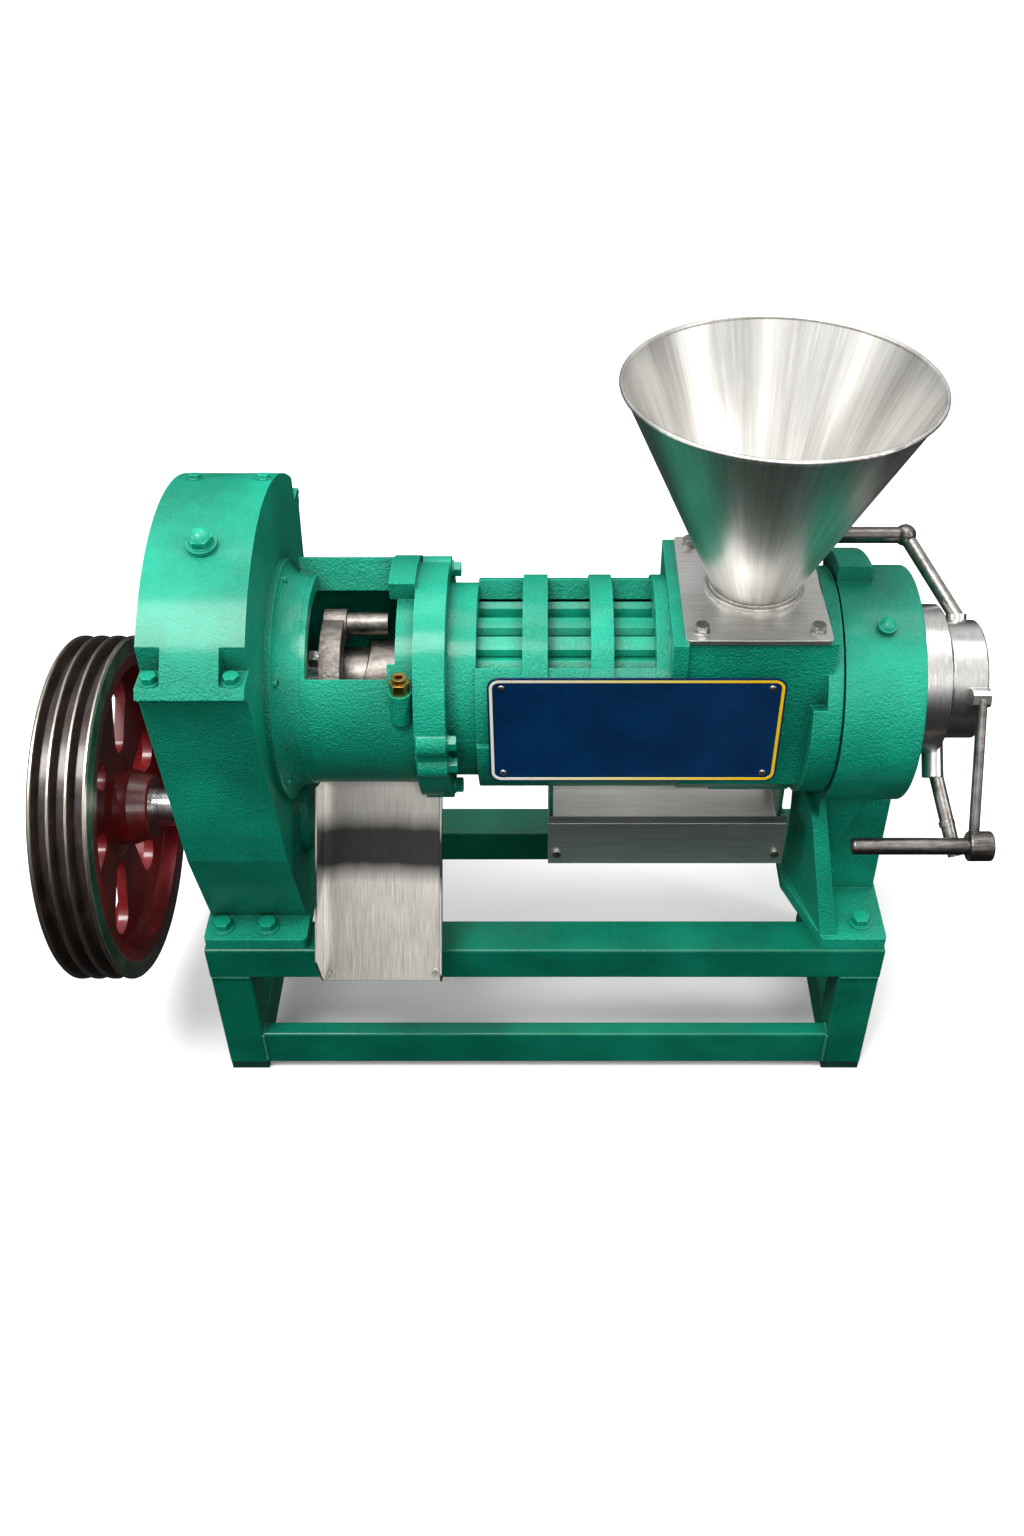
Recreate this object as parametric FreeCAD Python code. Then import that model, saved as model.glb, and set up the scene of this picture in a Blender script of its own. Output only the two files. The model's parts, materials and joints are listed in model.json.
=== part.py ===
import FreeCAD, Part
import math
import os

V = FreeCAD.Vector

# ---------------------------------------------------------------- driving dimensions (mm)
X_ORIGIN = -31.5        # station of the envelope's middle; every shape is moved by -X_ORIGIN when it is written
Z_AXIS = 525.0          # height of the press axis
Z_IN = 337.0            # height of the input shaft
Z_BED = 222.0           # top of the bed frame
PAD = 13.0              # foot pad thickness

FR_L, FR_R, FR_Y = -395.0, 396.0, 122.5     # bed frame ends and half width
TUBE, TUBE_T = 48.0, 3.0                    # bed tube section and wall
LOW_H, LOW_W = 55.0, 20.0                   # lower rail section

PULLEY_R, PULLEY_L, PULLEY_RR = 200.0, -535.0, -472.0
GROOVES, GROOVE_PITCH, GROOVE_DEPTH = 3, 19.0, 14.0

GB_L, GB_LB, GB_R = -382.0, -391.0, -279.0  # gearbox left face at the split and at the base, right face
GB_SPLIT = 640.0
GB_WALL = 9.0
ARCH_R, ARCH_Y, ARCH_Z = 239.4, 8.0, 497.0  # gearbox cover arch; the box stands 8 mm to the rear of the axis

# gear train: input pinion / layshaft wheel, layshaft pinion / output wheel
M1, Z1, Z2 = 2.5, 22, 42
M2, Z3, Z4 = 3.0, 19, 72

SCREW_R = 48.0          # press worm outer radius
CAGE_RO, CAGE_RL, CAGE_RI = 109.0, 116.0, 88.0     # upper half, lower half, bore of the cage
CAGE_L, CAGE_R = -99.0, 128.0
BAR_RO, BAR_RI, BARS = 85.0, 50.0, 20

FEED_L, FEED_R = 143.0, 275.0
PLATE_Z = 645.0
HOP_X, HOP_RIM_R, HOP_NECK_R, HOP_TOP, HOP_BOT = 222.0, 150.0, 43.0, 868.0, 648.0

HSG_L, HSG_R, HSG_RAD = 302.0, 384.0, 127.0
LOCK_L, LOCK_R, LOCK_RAD = 384.5, 422.0, 81.0
HUB_L, HUB_R, HUB_RAD = 426.0, 464.0, 64.0
SLEEVE_R = 45.0

DX = -X_ORIGIN
os.makedirs("parts", exist_ok=True)


# ---------------------------------------------------------------- helpers
def box(x0, x1, y0, y1, z0, z1):
    return Part.makeBox(x1 - x0, y1 - y0, z1 - z0, V(x0, y0, z0))


def cylx(x0, x1, r, y=0.0, z=Z_AXIS):
    return Part.makeCylinder(r, x1 - x0, V(x0, y, z), V(1, 0, 0))


def tubex(x0, x1, ro, ri, y=0.0, z=Z_AXIS):
    return cylx(x0, x1, ro, y, z).cut(cylx(x0 - 1, x1 + 1, ri, y, z))


def cylz(z0, z1, r, x, y):
    return Part.makeCylinder(r, z1 - z0, V(x, y, z0), V(0, 0, 1))


def cyly(y0, y1, r, x, z):
    return Part.makeCylinder(r, y1 - y0, V(x, y0, z), V(0, 1, 0))


def polyx(pts, x0, x1):
    w = Part.makePolygon([V(x0, p[0], p[1]) for p in pts] + [V(x0, pts[0][0], pts[0][1])])
    return Part.Face(w).extrude(V(x1 - x0, 0, 0))


def polyy(pts, y0, y1):
    w = Part.makePolygon([V(p[0], y0, p[1]) for p in pts] + [V(pts[0][0], y0, pts[0][1])])
    return Part.Face(w).extrude(V(0, y1 - y0, 0))


def polyz(pts, z0, z1):
    w = Part.makePolygon([V(p[0], p[1], z0) for p in pts] + [V(pts[0][0], pts[0][1], z0)])
    return Part.Face(w).extrude(V(0, 0, z1 - z0))


def mirror_y(s):
    return s.mirror(V(0, 0, 0), V(0, 1, 0))


def fuse(items):
    out = items[0]
    if len(items) > 1:
        out = out.multiFuse(items[1:])
    return out.removeSplitter()


def cut(a, items):
    for b in items:
        a = a.cut(b)
    return a


def ang(a, r, z=Z_AXIS):
    """Point on a circle round the press axis: angle 0 faces the operator (-Y), 90 is up."""
    t = math.radians(a)
    return (-r * math.cos(t), z + r * math.sin(t))


def sector(x0, x1, ri, ro, a0, a1, z=Z_AXIS, n=1):
    """Annular sector about the press axis between two angles, measured from -Y upwards."""
    p = []
    m0, m1, mm = a0, a1, (a0 + a1) / 2
    q = [V(x0, *ang(t, r, z)) for t, r in ((m0, ro), (mm, ro), (m1, ro), (m1, ri), (mm, ri), (m0, ri))]
    e = [Part.Arc(q[0], q[1], q[2]).toShape(), Part.LineSegment(q[2], q[3]).toShape(),
         Part.Arc(q[3], q[4], q[5]).toShape(), Part.LineSegment(q[5], q[0]).toShape()]
    return Part.Face(Part.Wire(e)).extrude(V(x1 - x0, 0, 0))


def frame_to(s, origin, direction):
    """Places a shape made along +Z at origin so that +Z points along direction."""
    d = V(*direction)
    d.normalize()
    rot = FreeCAD.Rotation(V(0, 0, 1), d)
    s = s.copy()
    s.Placement = FreeCAD.Placement(V(*origin), rot)
    return s


def hexbolt(origin, direction, af=16.0, h=9.0, washer=10.5, wt=2.0, shank=5.0, depth=14.0):
    """Hex head with a washer face, its seat at origin, pointing out along direction; the shank goes in."""
    r = af / math.sqrt(3)
    pts = [(r * math.cos(math.radians(60 * k)), r * math.sin(math.radians(60 * k))) for k in range(6)]
    head = polyz(pts, wt, wt + h)
    cone = Part.makeCone(r + h * 0.9, r * 0.86, h * 1.02, V(0, 0, wt), V(0, 0, 1))
    head = head.common(cone)
    parts = [head, cylz(0, wt, washer, 0, 0)]
    if depth > 0:
        parts.append(cylz(-depth, 0.5, shank, 0, 0))
    return frame_to(fuse(parts), origin, direction)


def rod(p0, p1, r):
    a, b = V(*p0), V(*p1)
    return Part.makeCylinder(r, (b - a).Length, a, b - a)


def group(items):
    return Part.makeCompound(items)


NODES = {}


def save(name, shape):
    NODES[name] = shape


def carve(host, *tools):
    """Cuts the holes and seats of other nodes into a node's solids."""
    out = []
    for so in NODES[host].Solids:
        for t in tools:
            for ts in NODES[t].Solids:
                if so.BoundBox.intersect(ts.BoundBox):
                    so = so.cut(ts)
        keep = [q for q in so.Solids if q.Volume > 20]
        if len(keep) != 1:
            print("carve", host, "gives", len(keep), "solids")
        out += keep
    NODES[host] = group(out)


# ---------------------------------------------------------------- bed frame: welded square tube
def tube_x(x0, x1, y0, y1, z0, z1, t=TUBE_T):
    return box(x0, x1, y0, y1, z0, z1).cut(box(x0 + t, x1 - t, y0 + t, y1 - t, z0 + t, z1 - t))


def tube_solid(x0, x1, y0, y1, z0, z1, t, axis):
    o = box(x0, x1, y0, y1, z0, z1)
    edges = [e for e in o.Edges if abs(abs((e.Vertexes[1].Point - e.Vertexes[0].Point).normalize().dot(axis)) - 1) < 1e-6]
    o = o.makeFillet(3.0, edges)
    g = 1.0
    if axis.x:
        i = box(x0 - g, x1 + g, y0 + t, y1 - t, z0 + t, z1 - t)
    elif axis.y:
        i = box(x0 + t, x1 - t, y0 - g, y1 + g, z0 + t, z1 - t)
    else:
        i = box(x0 + t, x1 - t, y0 + t, y1 - t, z0 - g, z1 + g)
    return o.cut(i)


XA, YA, ZA = V(1, 0, 0), V(0, 1, 0), V(0, 0, 1)
zt0 = Z_BED - TUBE
fy0, fy1 = -FR_Y, -FR_Y + TUBE
top_rails = [tube_solid(FR_L, FR_R, a, b, zt0, Z_BED, TUBE_T, XA) for a, b in ((fy0, fy1), (-fy1, -fy0))]
top_rails += [tube_solid(a, b, fy1, -fy1, zt0, Z_BED, TUBE_T, YA) for a, b in ((FR_L, FR_L + TUBE), (FR_R - TUBE, FR_R))]
save("top_rails", group(top_rails))
legs = []
for a, b in ((FR_L, FR_L + TUBE), (FR_R - TUBE, FR_R)):
    for c, d in ((fy0, fy1), (-fy1, -fy0)):
        legs.append(tube_solid(a, b, c, d, PAD, zt0, TUBE_T, ZA))
save("legs", group(legs))
low_rails = [tube_solid(FR_L + TUBE, FR_R - TUBE, fy0, fy0 + LOW_W, PAD, PAD + LOW_H, 2.5, XA)]
low_rails += [tube_solid(a, b, fy1, -fy1, PAD, PAD + LOW_H, 2.5, YA)
              for a, b in ((FR_L + 28, FR_L + TUBE), (FR_R - TUBE, FR_R - 28))]
save("lower_rails", group(low_rails))
pads = []
for x in (FR_L + TUBE / 2, FR_R - TUBE / 2):
    for y in (fy0 + TUBE / 2, -fy0 - TUBE / 2):
        pads.append(box(x - 23, x + 23, y - 23, y + 23, 0, PAD))
save("foot_pads", group(pads))

# ---------------------------------------------------------------- gearbox
LAY_A = (((M1 * (Z1 + Z2) / 2) ** 2 - (M2 * (Z3 + Z4) / 2) ** 2 + (Z_AXIS - Z_IN) ** 2) / (2 * (Z_AXIS - Z_IN)))
Y_LAY = math.sqrt((M1 * (Z1 + Z2) / 2) ** 2 - LAY_A ** 2)
Z_LAY = Z_IN + LAY_A

prof = [(-82, Z_BED + 16), (-100, 290), (-128, 374), (-157, 545), (-171.5, 629), (-177, 633), (-177, GB_SPLIT)]
prof = prof + [(2 * ARCH_Y - y, z) for y, z in reversed(prof)]
outer = polyx(prof, GB_LB - 5, GB_R)
slant = polyy([(GB_L - 40, GB_SPLIT + 1), (GB_L, GB_SPLIT + 1), (GB_LB, Z_BED), (GB_LB - 60, Z_BED)], -300, 300)
outer = outer.cut(slant)
foot = box(GB_LB - 3, GB_R + 4, -120, 120, Z_BED, Z_BED + 16)
foot = foot.makeFillet(6.0, [e for e in foot.Edges if abs(e.Vertexes[0].Z - e.Vertexes[1].Z) > 5])
outer = fuse([outer, foot])
inprof = [(-62, 262), (-90, 300), (-117, 374), (-146, 545), (-160, GB_SPLIT + 5)]
inprof = inprof + [(2 * ARCH_Y - y, z) for y, z in reversed(inprof)]
cav = polyx(inprof, GB_L + GB_WALL, GB_R - GB_WALL)
housing = outer.cut(cav)
# bearing bosses on both walls
W_IN_L, W_IN_R = -366.0, -299.0
bosses = []
for (y, z, ro) in ((0, Z_AXIS, 66), (0, Z_IN, 47), (Y_LAY, Z_LAY, 40)):
    bosses.append(cylx(-392, W_IN_L, ro, y, z))
    bosses.append(cylx(W_IN_R, GB_R, ro, y, z))
housing = fuse([housing] + bosses)
# machined pads for the outer caps
housing = fuse([housing, cylx(-392, -380, 66), cylx(-392, -380, 60, 0, Z_IN), cylx(-392, -380, 42, Y_LAY, Z_LAY)])
for (y, z, r) in ((0, Z_AXIS, 55), (0, Z_IN, 37.5)):
    housing = housing.cut(cylx(-400, GB_R + 5, r, y, z))
housing = housing.cut(cylx(-400, GB_R - 6, 31, Y_LAY, Z_LAY))
# split-flange bolt seats
SPL_Y = (-168.0, 2 * ARCH_Y + 168.0)
for x in (-369.5, -292):
    for sy in SPL_Y:
        housing = housing.cut(cylz(627, GB_SPLIT + 1, 5.0, x, sy))
for x in (-374, -322):
    for sg in (-1, 1):
        housing = housing.cut(cylz(Z_BED + 16, Z_BED + 34, 14.5, x, sg * 100))
save("gearbox_housing", housing)


def arch_solid(r, x0, x1, zb):
    h = math.sqrt(r * r - (zb - ARCH_Z) ** 2)
    p0, p1, p2 = V(x0, ARCH_Y - h, zb), V(x0, ARCH_Y, ARCH_Z + r), V(x0, ARCH_Y + h, zb)
    w = Part.Wire([Part.Arc(p0, p1, p2).toShape(), Part.LineSegment(p2, p0).toShape()])
    return Part.Face(w).extrude(V(x1 - x0, 0, 0))


cover = arch_solid(ARCH_R, GB_L, GB_R, GB_SPLIT)
cover = fuse([cover, box(GB_L, GB_R, -177, 2 * ARCH_Y + 177, GB_SPLIT, GB_SPLIT + 9)])
cover = cover.cut(arch_solid(ARCH_R - GB_WALL, GB_L + GB_WALL, GB_R - GB_WALL, GB_SPLIT).common(
    box(-500, 0, -142, 2 * ARCH_Y + 142, 600, 800)))
# bolt pockets at the four corners of the split
for x0, x1 in ((GB_L - 1, GB_L + 23.5), (GB_R - 24, GB_R + 1)):
    for y0, y1 in ((-200, -150), (2 * ARCH_Y + 150, 2 * ARCH_Y + 200)):
        cover = cover.cut(box(x0, x1, y0, y1, GB_SPLIT + 9, GB_SPLIT + 42))
for x in (-369.5, -292):
    for sy in SPL_Y:
        cover = cover.cut(cylz(GB_SPLIT - 1, GB_SPLIT + 12, 5.2, x, sy))
vx, vy = -328.0, -55.0
vz = ARCH_Z + math.sqrt(ARCH_R ** 2 - (vy - ARCH_Y) ** 2)
vdir = (0, vy - ARCH_Y, vz - ARCH_Z)
cover = cover.cut(frame_to(cylz(-16, 8, 7.0, 0, 0), (vx, vy, vz), vdir))
ty = 76.0
tz = math.sqrt(ARCH_R ** 2 - (ty - ARCH_Y) ** 2)
for x in (-360, -289):
    cover = cover.cut(frame_to(cylz(-9.5, 10, 4.2, 0, 0), (x, ty, ARCH_Z + tz), (0, ty - ARCH_Y, tz)))
save("gearbox_cover", cover)
save("cover_bolts", group([hexbolt((x, sy, GB_SPLIT + 9), (0, 0, 1), 14, 7.5, 9, 1.5, 4.95, 19)
                           for x in (-369.5, -292) for sy in SPL_Y]
                          + [hexbolt((x, ty, ARCH_Z + tz), (0, ty - ARCH_Y, tz), 13, 4, 7.5, 1.0, 4.0, 8.5)
                             for x in (-360, -289)]))
plug = fuse([cylz(-0.7, 5, 15, 0, 0), hexbolt((0, 0, 5), (0, 0, 1), 22, 8, 13.4, 1.5, 6.8, 17),
             Part.makeSphere(12.5, V(0, 0, 8)).common(cylz(10, 30, 11.5, 0, 0))])
plug = frame_to(plug, (vx, vy, vz), vdir)
plug = plug.cut(arch_solid(ARCH_R, GB_L, GB_R, GB_SPLIT).cut(frame_to(cylz(-30, 8, 7.0, 0, 0), (vx, vy, vz), vdir)))
save("vent_plug", plug)

foot_bolts = [hexbolt((x, s * 100, Z_BED + 16), (0, 0, 1), 18, 9, 13, 2.0, 5.8, 17)
              for x in (-374, -322) for s in (-1, 1)]


# bearing caps
cap_in = fuse([cylx(-404, -392, 60, 0, Z_IN), cylx(-416, -404, 46, 0, Z_IN), cylx(-392, -388, 37.3, 0, Z_IN)])
cap_in = cap_in.cut(cylx(-420, -380, 23.5, 0, Z_IN))
cap_in_r = fuse([cylx(GB_R, GB_R + 9, 50, 0, Z_IN), cylx(GB_R - 4, GB_R, 37.3, 0, Z_IN)])
cap_out = fuse([cylx(-402, -392, 66), cylx(-392, -388, 54.8)])
cap_out = cap_out.cut(cylx(-397, -380, 38))
cap_lay = fuse([cylx(-401, -392, 42, Y_LAY, Z_LAY), cylx(-392, -388, 30.8, Y_LAY, Z_LAY)])
save("input_cap", cap_in)
save("blind_caps", group([cap_out, cap_lay, cap_in_r]))
scr = []
for k in range(6):
    t = math.radians(60 * k + 30)
    scr.append(hexbolt((-402, 58 * math.cos(t), Z_AXIS + 58 * math.sin(t)), (-1, 0, 0), 10, 5, 6.5, 1.0, 3.5, 9))
for k in range(4):
    t = math.radians(90 * k + 45)
    scr.append(hexbolt((-404, 53 * math.cos(t), Z_IN + 53 * math.sin(t)), (-1, 0, 0), 10, 5, 6.5, 1.0, 3.5, 11))
for k in range(3):
    t = math.radians(120 * k + 20)
    scr.append(hexbolt((-401, Y_LAY + 36 * math.cos(t), Z_LAY + 36 * math.sin(t)), (-1, 0, 0), 8, 4, 5.4, 1.0, 2.4, 8))
save("cap_screws", group(scr))

# bearings: outer and inner races as one ring each with a shielded face groove
def bearing(x0, x1, ro, ri, y, z):
    b = tubex(x0, x1, ro, ri, y, z)
    m0, m1 = ri + (ro - ri) * 0.30, ri + (ro - ri) * 0.70
    return cut(b, [tubex(x0 - 1, x0 + 1.5, m1, m0, y, z), tubex(x1 - 1.5, x1 + 1, m1, m0, y, z)])


save("gearbox_bearings", group([
    bearing(-388, -372, 37.5, 22.55, 0, Z_IN), bearing(-299, -283, 37.5, 22.55, 0, Z_IN),
    bearing(-388, -374, 31, 17.55, Y_LAY, Z_LAY), bearing(-299, -285, 31, 17.55, Y_LAY, Z_LAY),
    bearing(-388, -368, 55, 35.05, 0, Z_AXIS), bearing(-299, -279, 55, 35.05, 0, Z_AXIS)]))


# gears: involute flanks
def involute_gear(m, z, x0, x1, y, zc, phase, backlash=0.16, add=0.95, ded=1.25, pa=20.0):
    r = m * z / 2.0
    rb = r * math.cos(math.radians(pa))
    ra, rf = r + add * m, r - ded * m

    def inv(a):
        return math.tan(a) - a

    half = (math.pi * m / 2 - backlash) / 2 / r
    base = half + inv(math.radians(pa))
    rad = []
    r0 = max(rb, rf)
    for k in range(6):
        rad.append(r0 + (ra - r0) * k / 5.0)
    side = []
    if rf < rb:
        side.append((rf, base))
    for q in rad:
        side.append((q, base - inv(math.acos(min(1.0, rb / q)))))
    pts = []
    for k in range(z):
        c = 2 * math.pi * k / z + phase
        for q, a in side:
            pts.append((q, c - a))
        for q, a in reversed(side):
            pts.append((q, c + a))
    yz = [(y + q * math.cos(a), zc + q * math.sin(a)) for q, a in pts]
    return polyx(yz, x0, x1)


def mesh_phase(zd, phase_d, zr, a_line):
    """Phase of a gear so that it meshes with a driver; a_line is the direction from driver to driven."""
    td = ((a_line - phase_d) / (2 * math.pi / zd)) % 1.0
    return a_line + math.pi - (0.5 - td) * (2 * math.pi / zr)


a12 = math.atan2(Z_LAY - Z_IN, Y_LAY)
a34 = math.atan2(Z_AXIS - Z_LAY, -Y_LAY)
ph1 = a12
ph2 = mesh_phase(Z1, ph1, Z2, a12)
ph3 = a34
ph4 = mesh_phase(Z3, ph3, Z4, a34)

pinion = involute_gear(M1, Z1, -366 + 1.5, -336, 0, Z_IN, ph1)
pinion = fuse([pinion, cylx(-336, -318, 29, 0, Z_IN)])
pinion = pinion.cut(cylx(-400, -200, 21.0, 0, Z_IN))
save("input_pinion", pinion)
lay_wheel = involute_gear(M1, Z2, -362, -338, Y_LAY, Z_LAY, ph2)
lay_wheel = fuse([lay_wheel, cylx(-371, -338, 26, Y_LAY, Z_LAY)])
lay_wheel = cut(lay_wheel, [cylx(-400, -200, 18.5, Y_LAY, Z_LAY), tubex(-370, -354, 44, 27, Y_LAY, Z_LAY)])
save("layshaft_wheel", lay_wheel)
lay = fuse([cylx(-388, -285.5, 17.5, Y_LAY, Z_LAY), cylx(-371, -301.5, 18.5, Y_LAY, Z_LAY),
            involute_gear(M2, Z3, -334, -302, Y_LAY, Z_LAY, ph3)])
save("layshaft", lay)
wheel = involute_gear(M2, Z4, -332, -304, 0, Z_AXIS, ph4)
wheel = cut(wheel, [tubex(-334, -324, 96, 62), tubex(-312, -300, 96, 62)])
holes = []
for k in range(6):
    t = math.radians(60 * k)
    holes.append(cylx(-340, -296, 12, 79 * math.cos(t), Z_AXIS + 79 * math.sin(t)))
wheel = cut(wheel, holes)
wheel = fuse([wheel, cylx(-364, -300, 50), cylx(-388, -279, 35)])
wheel = wheel.cut(cylx(-400, -200, 26.06))
wheel = wheel.cut(box(-400, -270, -4, 4, Z_AXIS + 20, Z_AXIS + 29.5))
save("output_gear", wheel)

# ---------------------------------------------------------------- input shaft and belt pulley
shaft = fuse([cylx(-534.5, -455, 20, 0, Z_IN), cylx(-456, -283, 22.5, 0, Z_IN), ])
shaft = shaft.cut(cylx(-372, -283 - 16, 60, 0, Z_IN).cut(cylx(-372, -283 - 16, 21.0, 0, Z_IN)))
shaft = fuse([shaft, cylx(-318, -302, 24, 0, Z_IN)])
shaft = shaft.cut(box(-520, -458, -6, 6, Z_IN + 15, Z_IN + 21))
save("input_shaft", shaft)
save("pulley_key", box(-518, -460, -6, 6, Z_IN + 15, Z_IN + 22.5))

rim_w = PULLEY_RR - PULLEY_L
rim_mid = (PULLEY_L + PULLEY_RR) / 2.0
gt, gb = 8.3, 4.2                       # groove half widths at the top and bottom
ring = [(PULLEY_L, 166), (PULLEY_L, PULLEY_R - 2), (PULLEY_L + 2, PULLEY_R)]
for k in range(GROOVES):
    c = rim_mid + (k - (GROOVES - 1) / 2.0) * GROOVE_PITCH
    ring += [(c - gt, PULLEY_R), (c - gb, PULLEY_R - GROOVE_DEPTH), (c + gb, PULLEY_R - GROOVE_DEPTH), (c + gt, PULLEY_R)]
ring += [(PULLEY_RR - 2, PULLEY_R), (PULLEY_RR, PULLEY_R - 2), (PULLEY_RR, 166), (rim_mid + 12, 172), (rim_mid - 12, 172)]
w = Part.makePolygon([V(a, 0, Z_IN + b) for a, b in ring] + [V(ring[0][0], 0, Z_IN + ring[0][1])])
rim = Part.Face(w).revolve(V(0, 0, Z_IN), V(1, 0, 0), 360)
web = [(rim_mid - 6, 36), (rim_mid - 6, 160), (rim_mid - 11, 174), (rim_mid + 11, 174), (rim_mid + 6, 160), (rim_mid + 6, 60), (rim_mid + 12, 36)]
w = Part.makePolygon([V(a, 0, Z_IN + b) for a, b in web] + [V(web[0][0], 0, Z_IN + web[0][1])])
webs = Part.Face(w).revolve(V(0, 0, Z_IN), V(1, 0, 0), 360)
hub = [(-520, 30), (-520, 38), (-518, 40), (-500, 44), (-478, 44), (-458, 38), (-456, 36), (-456, 30)]
w = Part.makePolygon([V(a, 0, Z_IN + b) for a, b in hub] + [V(hub[0][0], 0, Z_IN + hub[0][1])])
hubs = Part.Face(w).revolve(V(0, 0, Z_IN), V(1, 0, 0), 360)
hubs = fuse([hubs, cylx(-520, -456, 31, 0, Z_IN)])
pul = fuse([rim, webs, hubs])


def oval(cx_r, length, w0, w1, a, x0, x1):
    """Teardrop window in the pulley web: wide end outward, centred cx_r from the axis, at angle a."""
    r0, r1 = cx_r - length / 2 + w0, cx_r + length / 2 - w1
    d = r1 - r0
    s = math.asin((w1 - w0) / d)
    p = [V(x0, -w0 * math.cos(s), r0 - w0 * math.sin(s)), V(x0, 0, r0 - w0), V(x0, w0 * math.cos(s), r0 - w0 * math.sin(s)),
         V(x0, w1 * math.cos(s), r1 - w1 * math.sin(s)), V(x0, 0, r1 + w1), V(x0, -w1 * math.cos(s), r1 - w1 * math.sin(s))]
    wv = Part.Wire([Part.Arc(p[0], p[1], p[2]).toShape(), Part.LineSegment(p[2], p[3]).toShape(),
                    Part.Arc(p[3], p[4], p[5]).toShape(), Part.LineSegment(p[5], p[0]).toShape()])
    f = Part.Face(wv).extrude(V(x1 - x0, 0, 0))
    f.rotate(V(0, 0, 0), V(1, 0, 0), a)
    f.translate(V(0, 0, Z_IN))
    return f


for k in range(6):
    pul = pul.cut(oval(107, 88, 16, 25, 60 * k + 22, rim_mid - 30, rim_mid + 30))
pul = pul.cut(cylx(-560, -440, 20.0, 0, Z_IN))
pul = pul.cut(box(-521, -455, -6, 6, Z_IN + 15, Z_IN + 22.5))
save("pulley", pul)
save("pulley_nut", hexbolt((-520, 0, Z_IN), (-1, 0, 0), 48, 11.5, 31, 3.0, 8, 0).cut(cylx(-560, -519, 20.0, 0, Z_IN)))

# ---------------------------------------------------------------- press-frame casting between gearbox and cage
BODY_L, BODY_R = -248.0, -131.0
root_pts = [(GB_R, 0), (GB_R, 130), (-275, 130)] + [
    (-248 - 24 * math.cos(math.radians(t)), 130 - 17 * math.sin(math.radians(t))) for t in range(0, 91, 15)] + [(-247, 113), (-247, 0)]
root_w = Part.makePolygon([V(a, 0, Z_AXIS + b) for a, b in root_pts] + [V(root_pts[0][0], 0, Z_AXIS)])
body = fuse([Part.Face(root_w).revolve(V(0, 0, Z_AXIS), V(1, 0, 0), 360), cylx(BODY_L, BODY_R, 112),
             sector(BODY_L - 12, BODY_R, 96, 131, 117, 142), cylx(BODY_R, CAGE_L, 126),
             sector(-158, BODY_R, 96, 133, 84, 142)])
FL_BOLTS = (4, -11, -62, -118, 184, 124)
lugs = []
for a in FL_BOLTS:
    y, z = ang(a, 116)
    lugs.append(cylx(BODY_R + 2, CAGE_L, 16, y, z))
boss_y, boss_x = -103.0, -144.0
lugs.append(cylz(552, 588, 12, boss_x, boss_y).cut(cylx(-200, -100, 105)))
body = fuse([body] + lugs)
body = cut(body, [cylx(-262, BODY_R - 4, 96), cylx(GB_R - 1, -261, 36), cylx(BODY_R - 5, CAGE_L + 1, 66)])
body = body.cut(sector(-241, -158, 60, 200, 37, 117))
body = body.cut(sector(-158.5, -150, 60, 112.5, 45, 117))
body = body.cut(sector(-238, -148, 60, 200, -104, -44))
for a in FL_BOLTS:
    y, z = ang(a, 118)
    body = body.cut(cylx(CAGE_L - 16, CAGE_L + 1, 5.0, y, z))
BODY_BOLTS = [35 + 60 * k for k in range(6)]
for a in BODY_BOLTS:
    y, z = ang(a, 121)
    body = body.cut(cylx(GB_R - 1, -265, 4.1, y, z))
body = body.cut(cylz(578, 600, 6, boss_x, boss_y))
save("press_body", body)
body_bolts = [hexbolt((-288, *ang(a, 121)), (-1, 0, 0), 10, 5, 5.6, 1.2, 4.0, 21.5) for a in BODY_BOLTS]
save("shaft_seal", tubex(-279, -262, 36, 26.4))
save("brass_fitting", fuse([cylz(579, 588, 5.9, boss_x, boss_y),
                            polyz([(boss_x + 10.4 * math.cos(math.radians(60 * k)), boss_y + 10.4 * math.sin(math.radians(60 * k)))
                                   for k in range(6)], 588, 600),
                            cylz(600, 606, 7.5, boss_x, boss_y)]).cut(cylz(591, 610, 4, boss_x, boss_y)))

# cake outlet ring in the flange, with its fixing bolts
ring_b = tubex(BODY_R - 5, CAGE_L, 65.8, 50)
cone = Part.makeCone(56, 50, 20, V(BODY_R - 5.01, 0, Z_AXIS), V(1, 0, 0))
cake_ring = fuse([ring_b, tubex(BODY_R - 12, BODY_R - 4, 84, 56)]).cut(cone)
RB = (88, 178, 268, 358)
for a in RB:
    cake_ring = cake_ring.cut(cylx(-160, BODY_R, 4.2, *ang(a, 75)))
save("cake_ring", cake_ring)
chamber_bolts = [hexbolt((BODY_R - 12, *ang(a, 75)), (-1, 0, 0), 13, 7, 8, 1.5, 4.1, 7.5) for a in RB]

# ---------------------------------------------------------------- press cage
BAYS = ((-69.0, -21.5), (4.0, 48.0), (71.0, 114.0))
up = sector(-69, CAGE_R, CAGE_RI, CAGE_RO, 0, 180)
up = fuse([up, sector(CAGE_L, -69, CAGE_RI, 104, 0, 180)])
rings = [sector(a, b, 105, 112.5, 12, 168) for a, b in ((-21.5, 4.0), (48.0, 71.0), (114.0, CAGE_R))]
up = fuse([up] + rings)
for a, b in BAYS:
    up = up.cut(sector(a, b, 70, 130, 43, 112))
CB = (-8.5, 59.5, 121.0)
for x in CB:
    for s in (-1, 1):
        up = up.cut(cylz(500, 566, 5.2, x, s * 99))
        up = up.cut(cylz(566, 640, 9.5, x, s * 99))
save("cage_upper", up)
low = fuse([sector(-69, CAGE_R, CAGE_RI, CAGE_RL, 180, 360), sector(CAGE_L, -69, CAGE_RI, 104, 180, 360)])
for a, b in ((-62, -28), (10, 42), (77, 108)):
    low = low.cut(sector(a, b, 70, 130, 246, 294))
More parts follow.
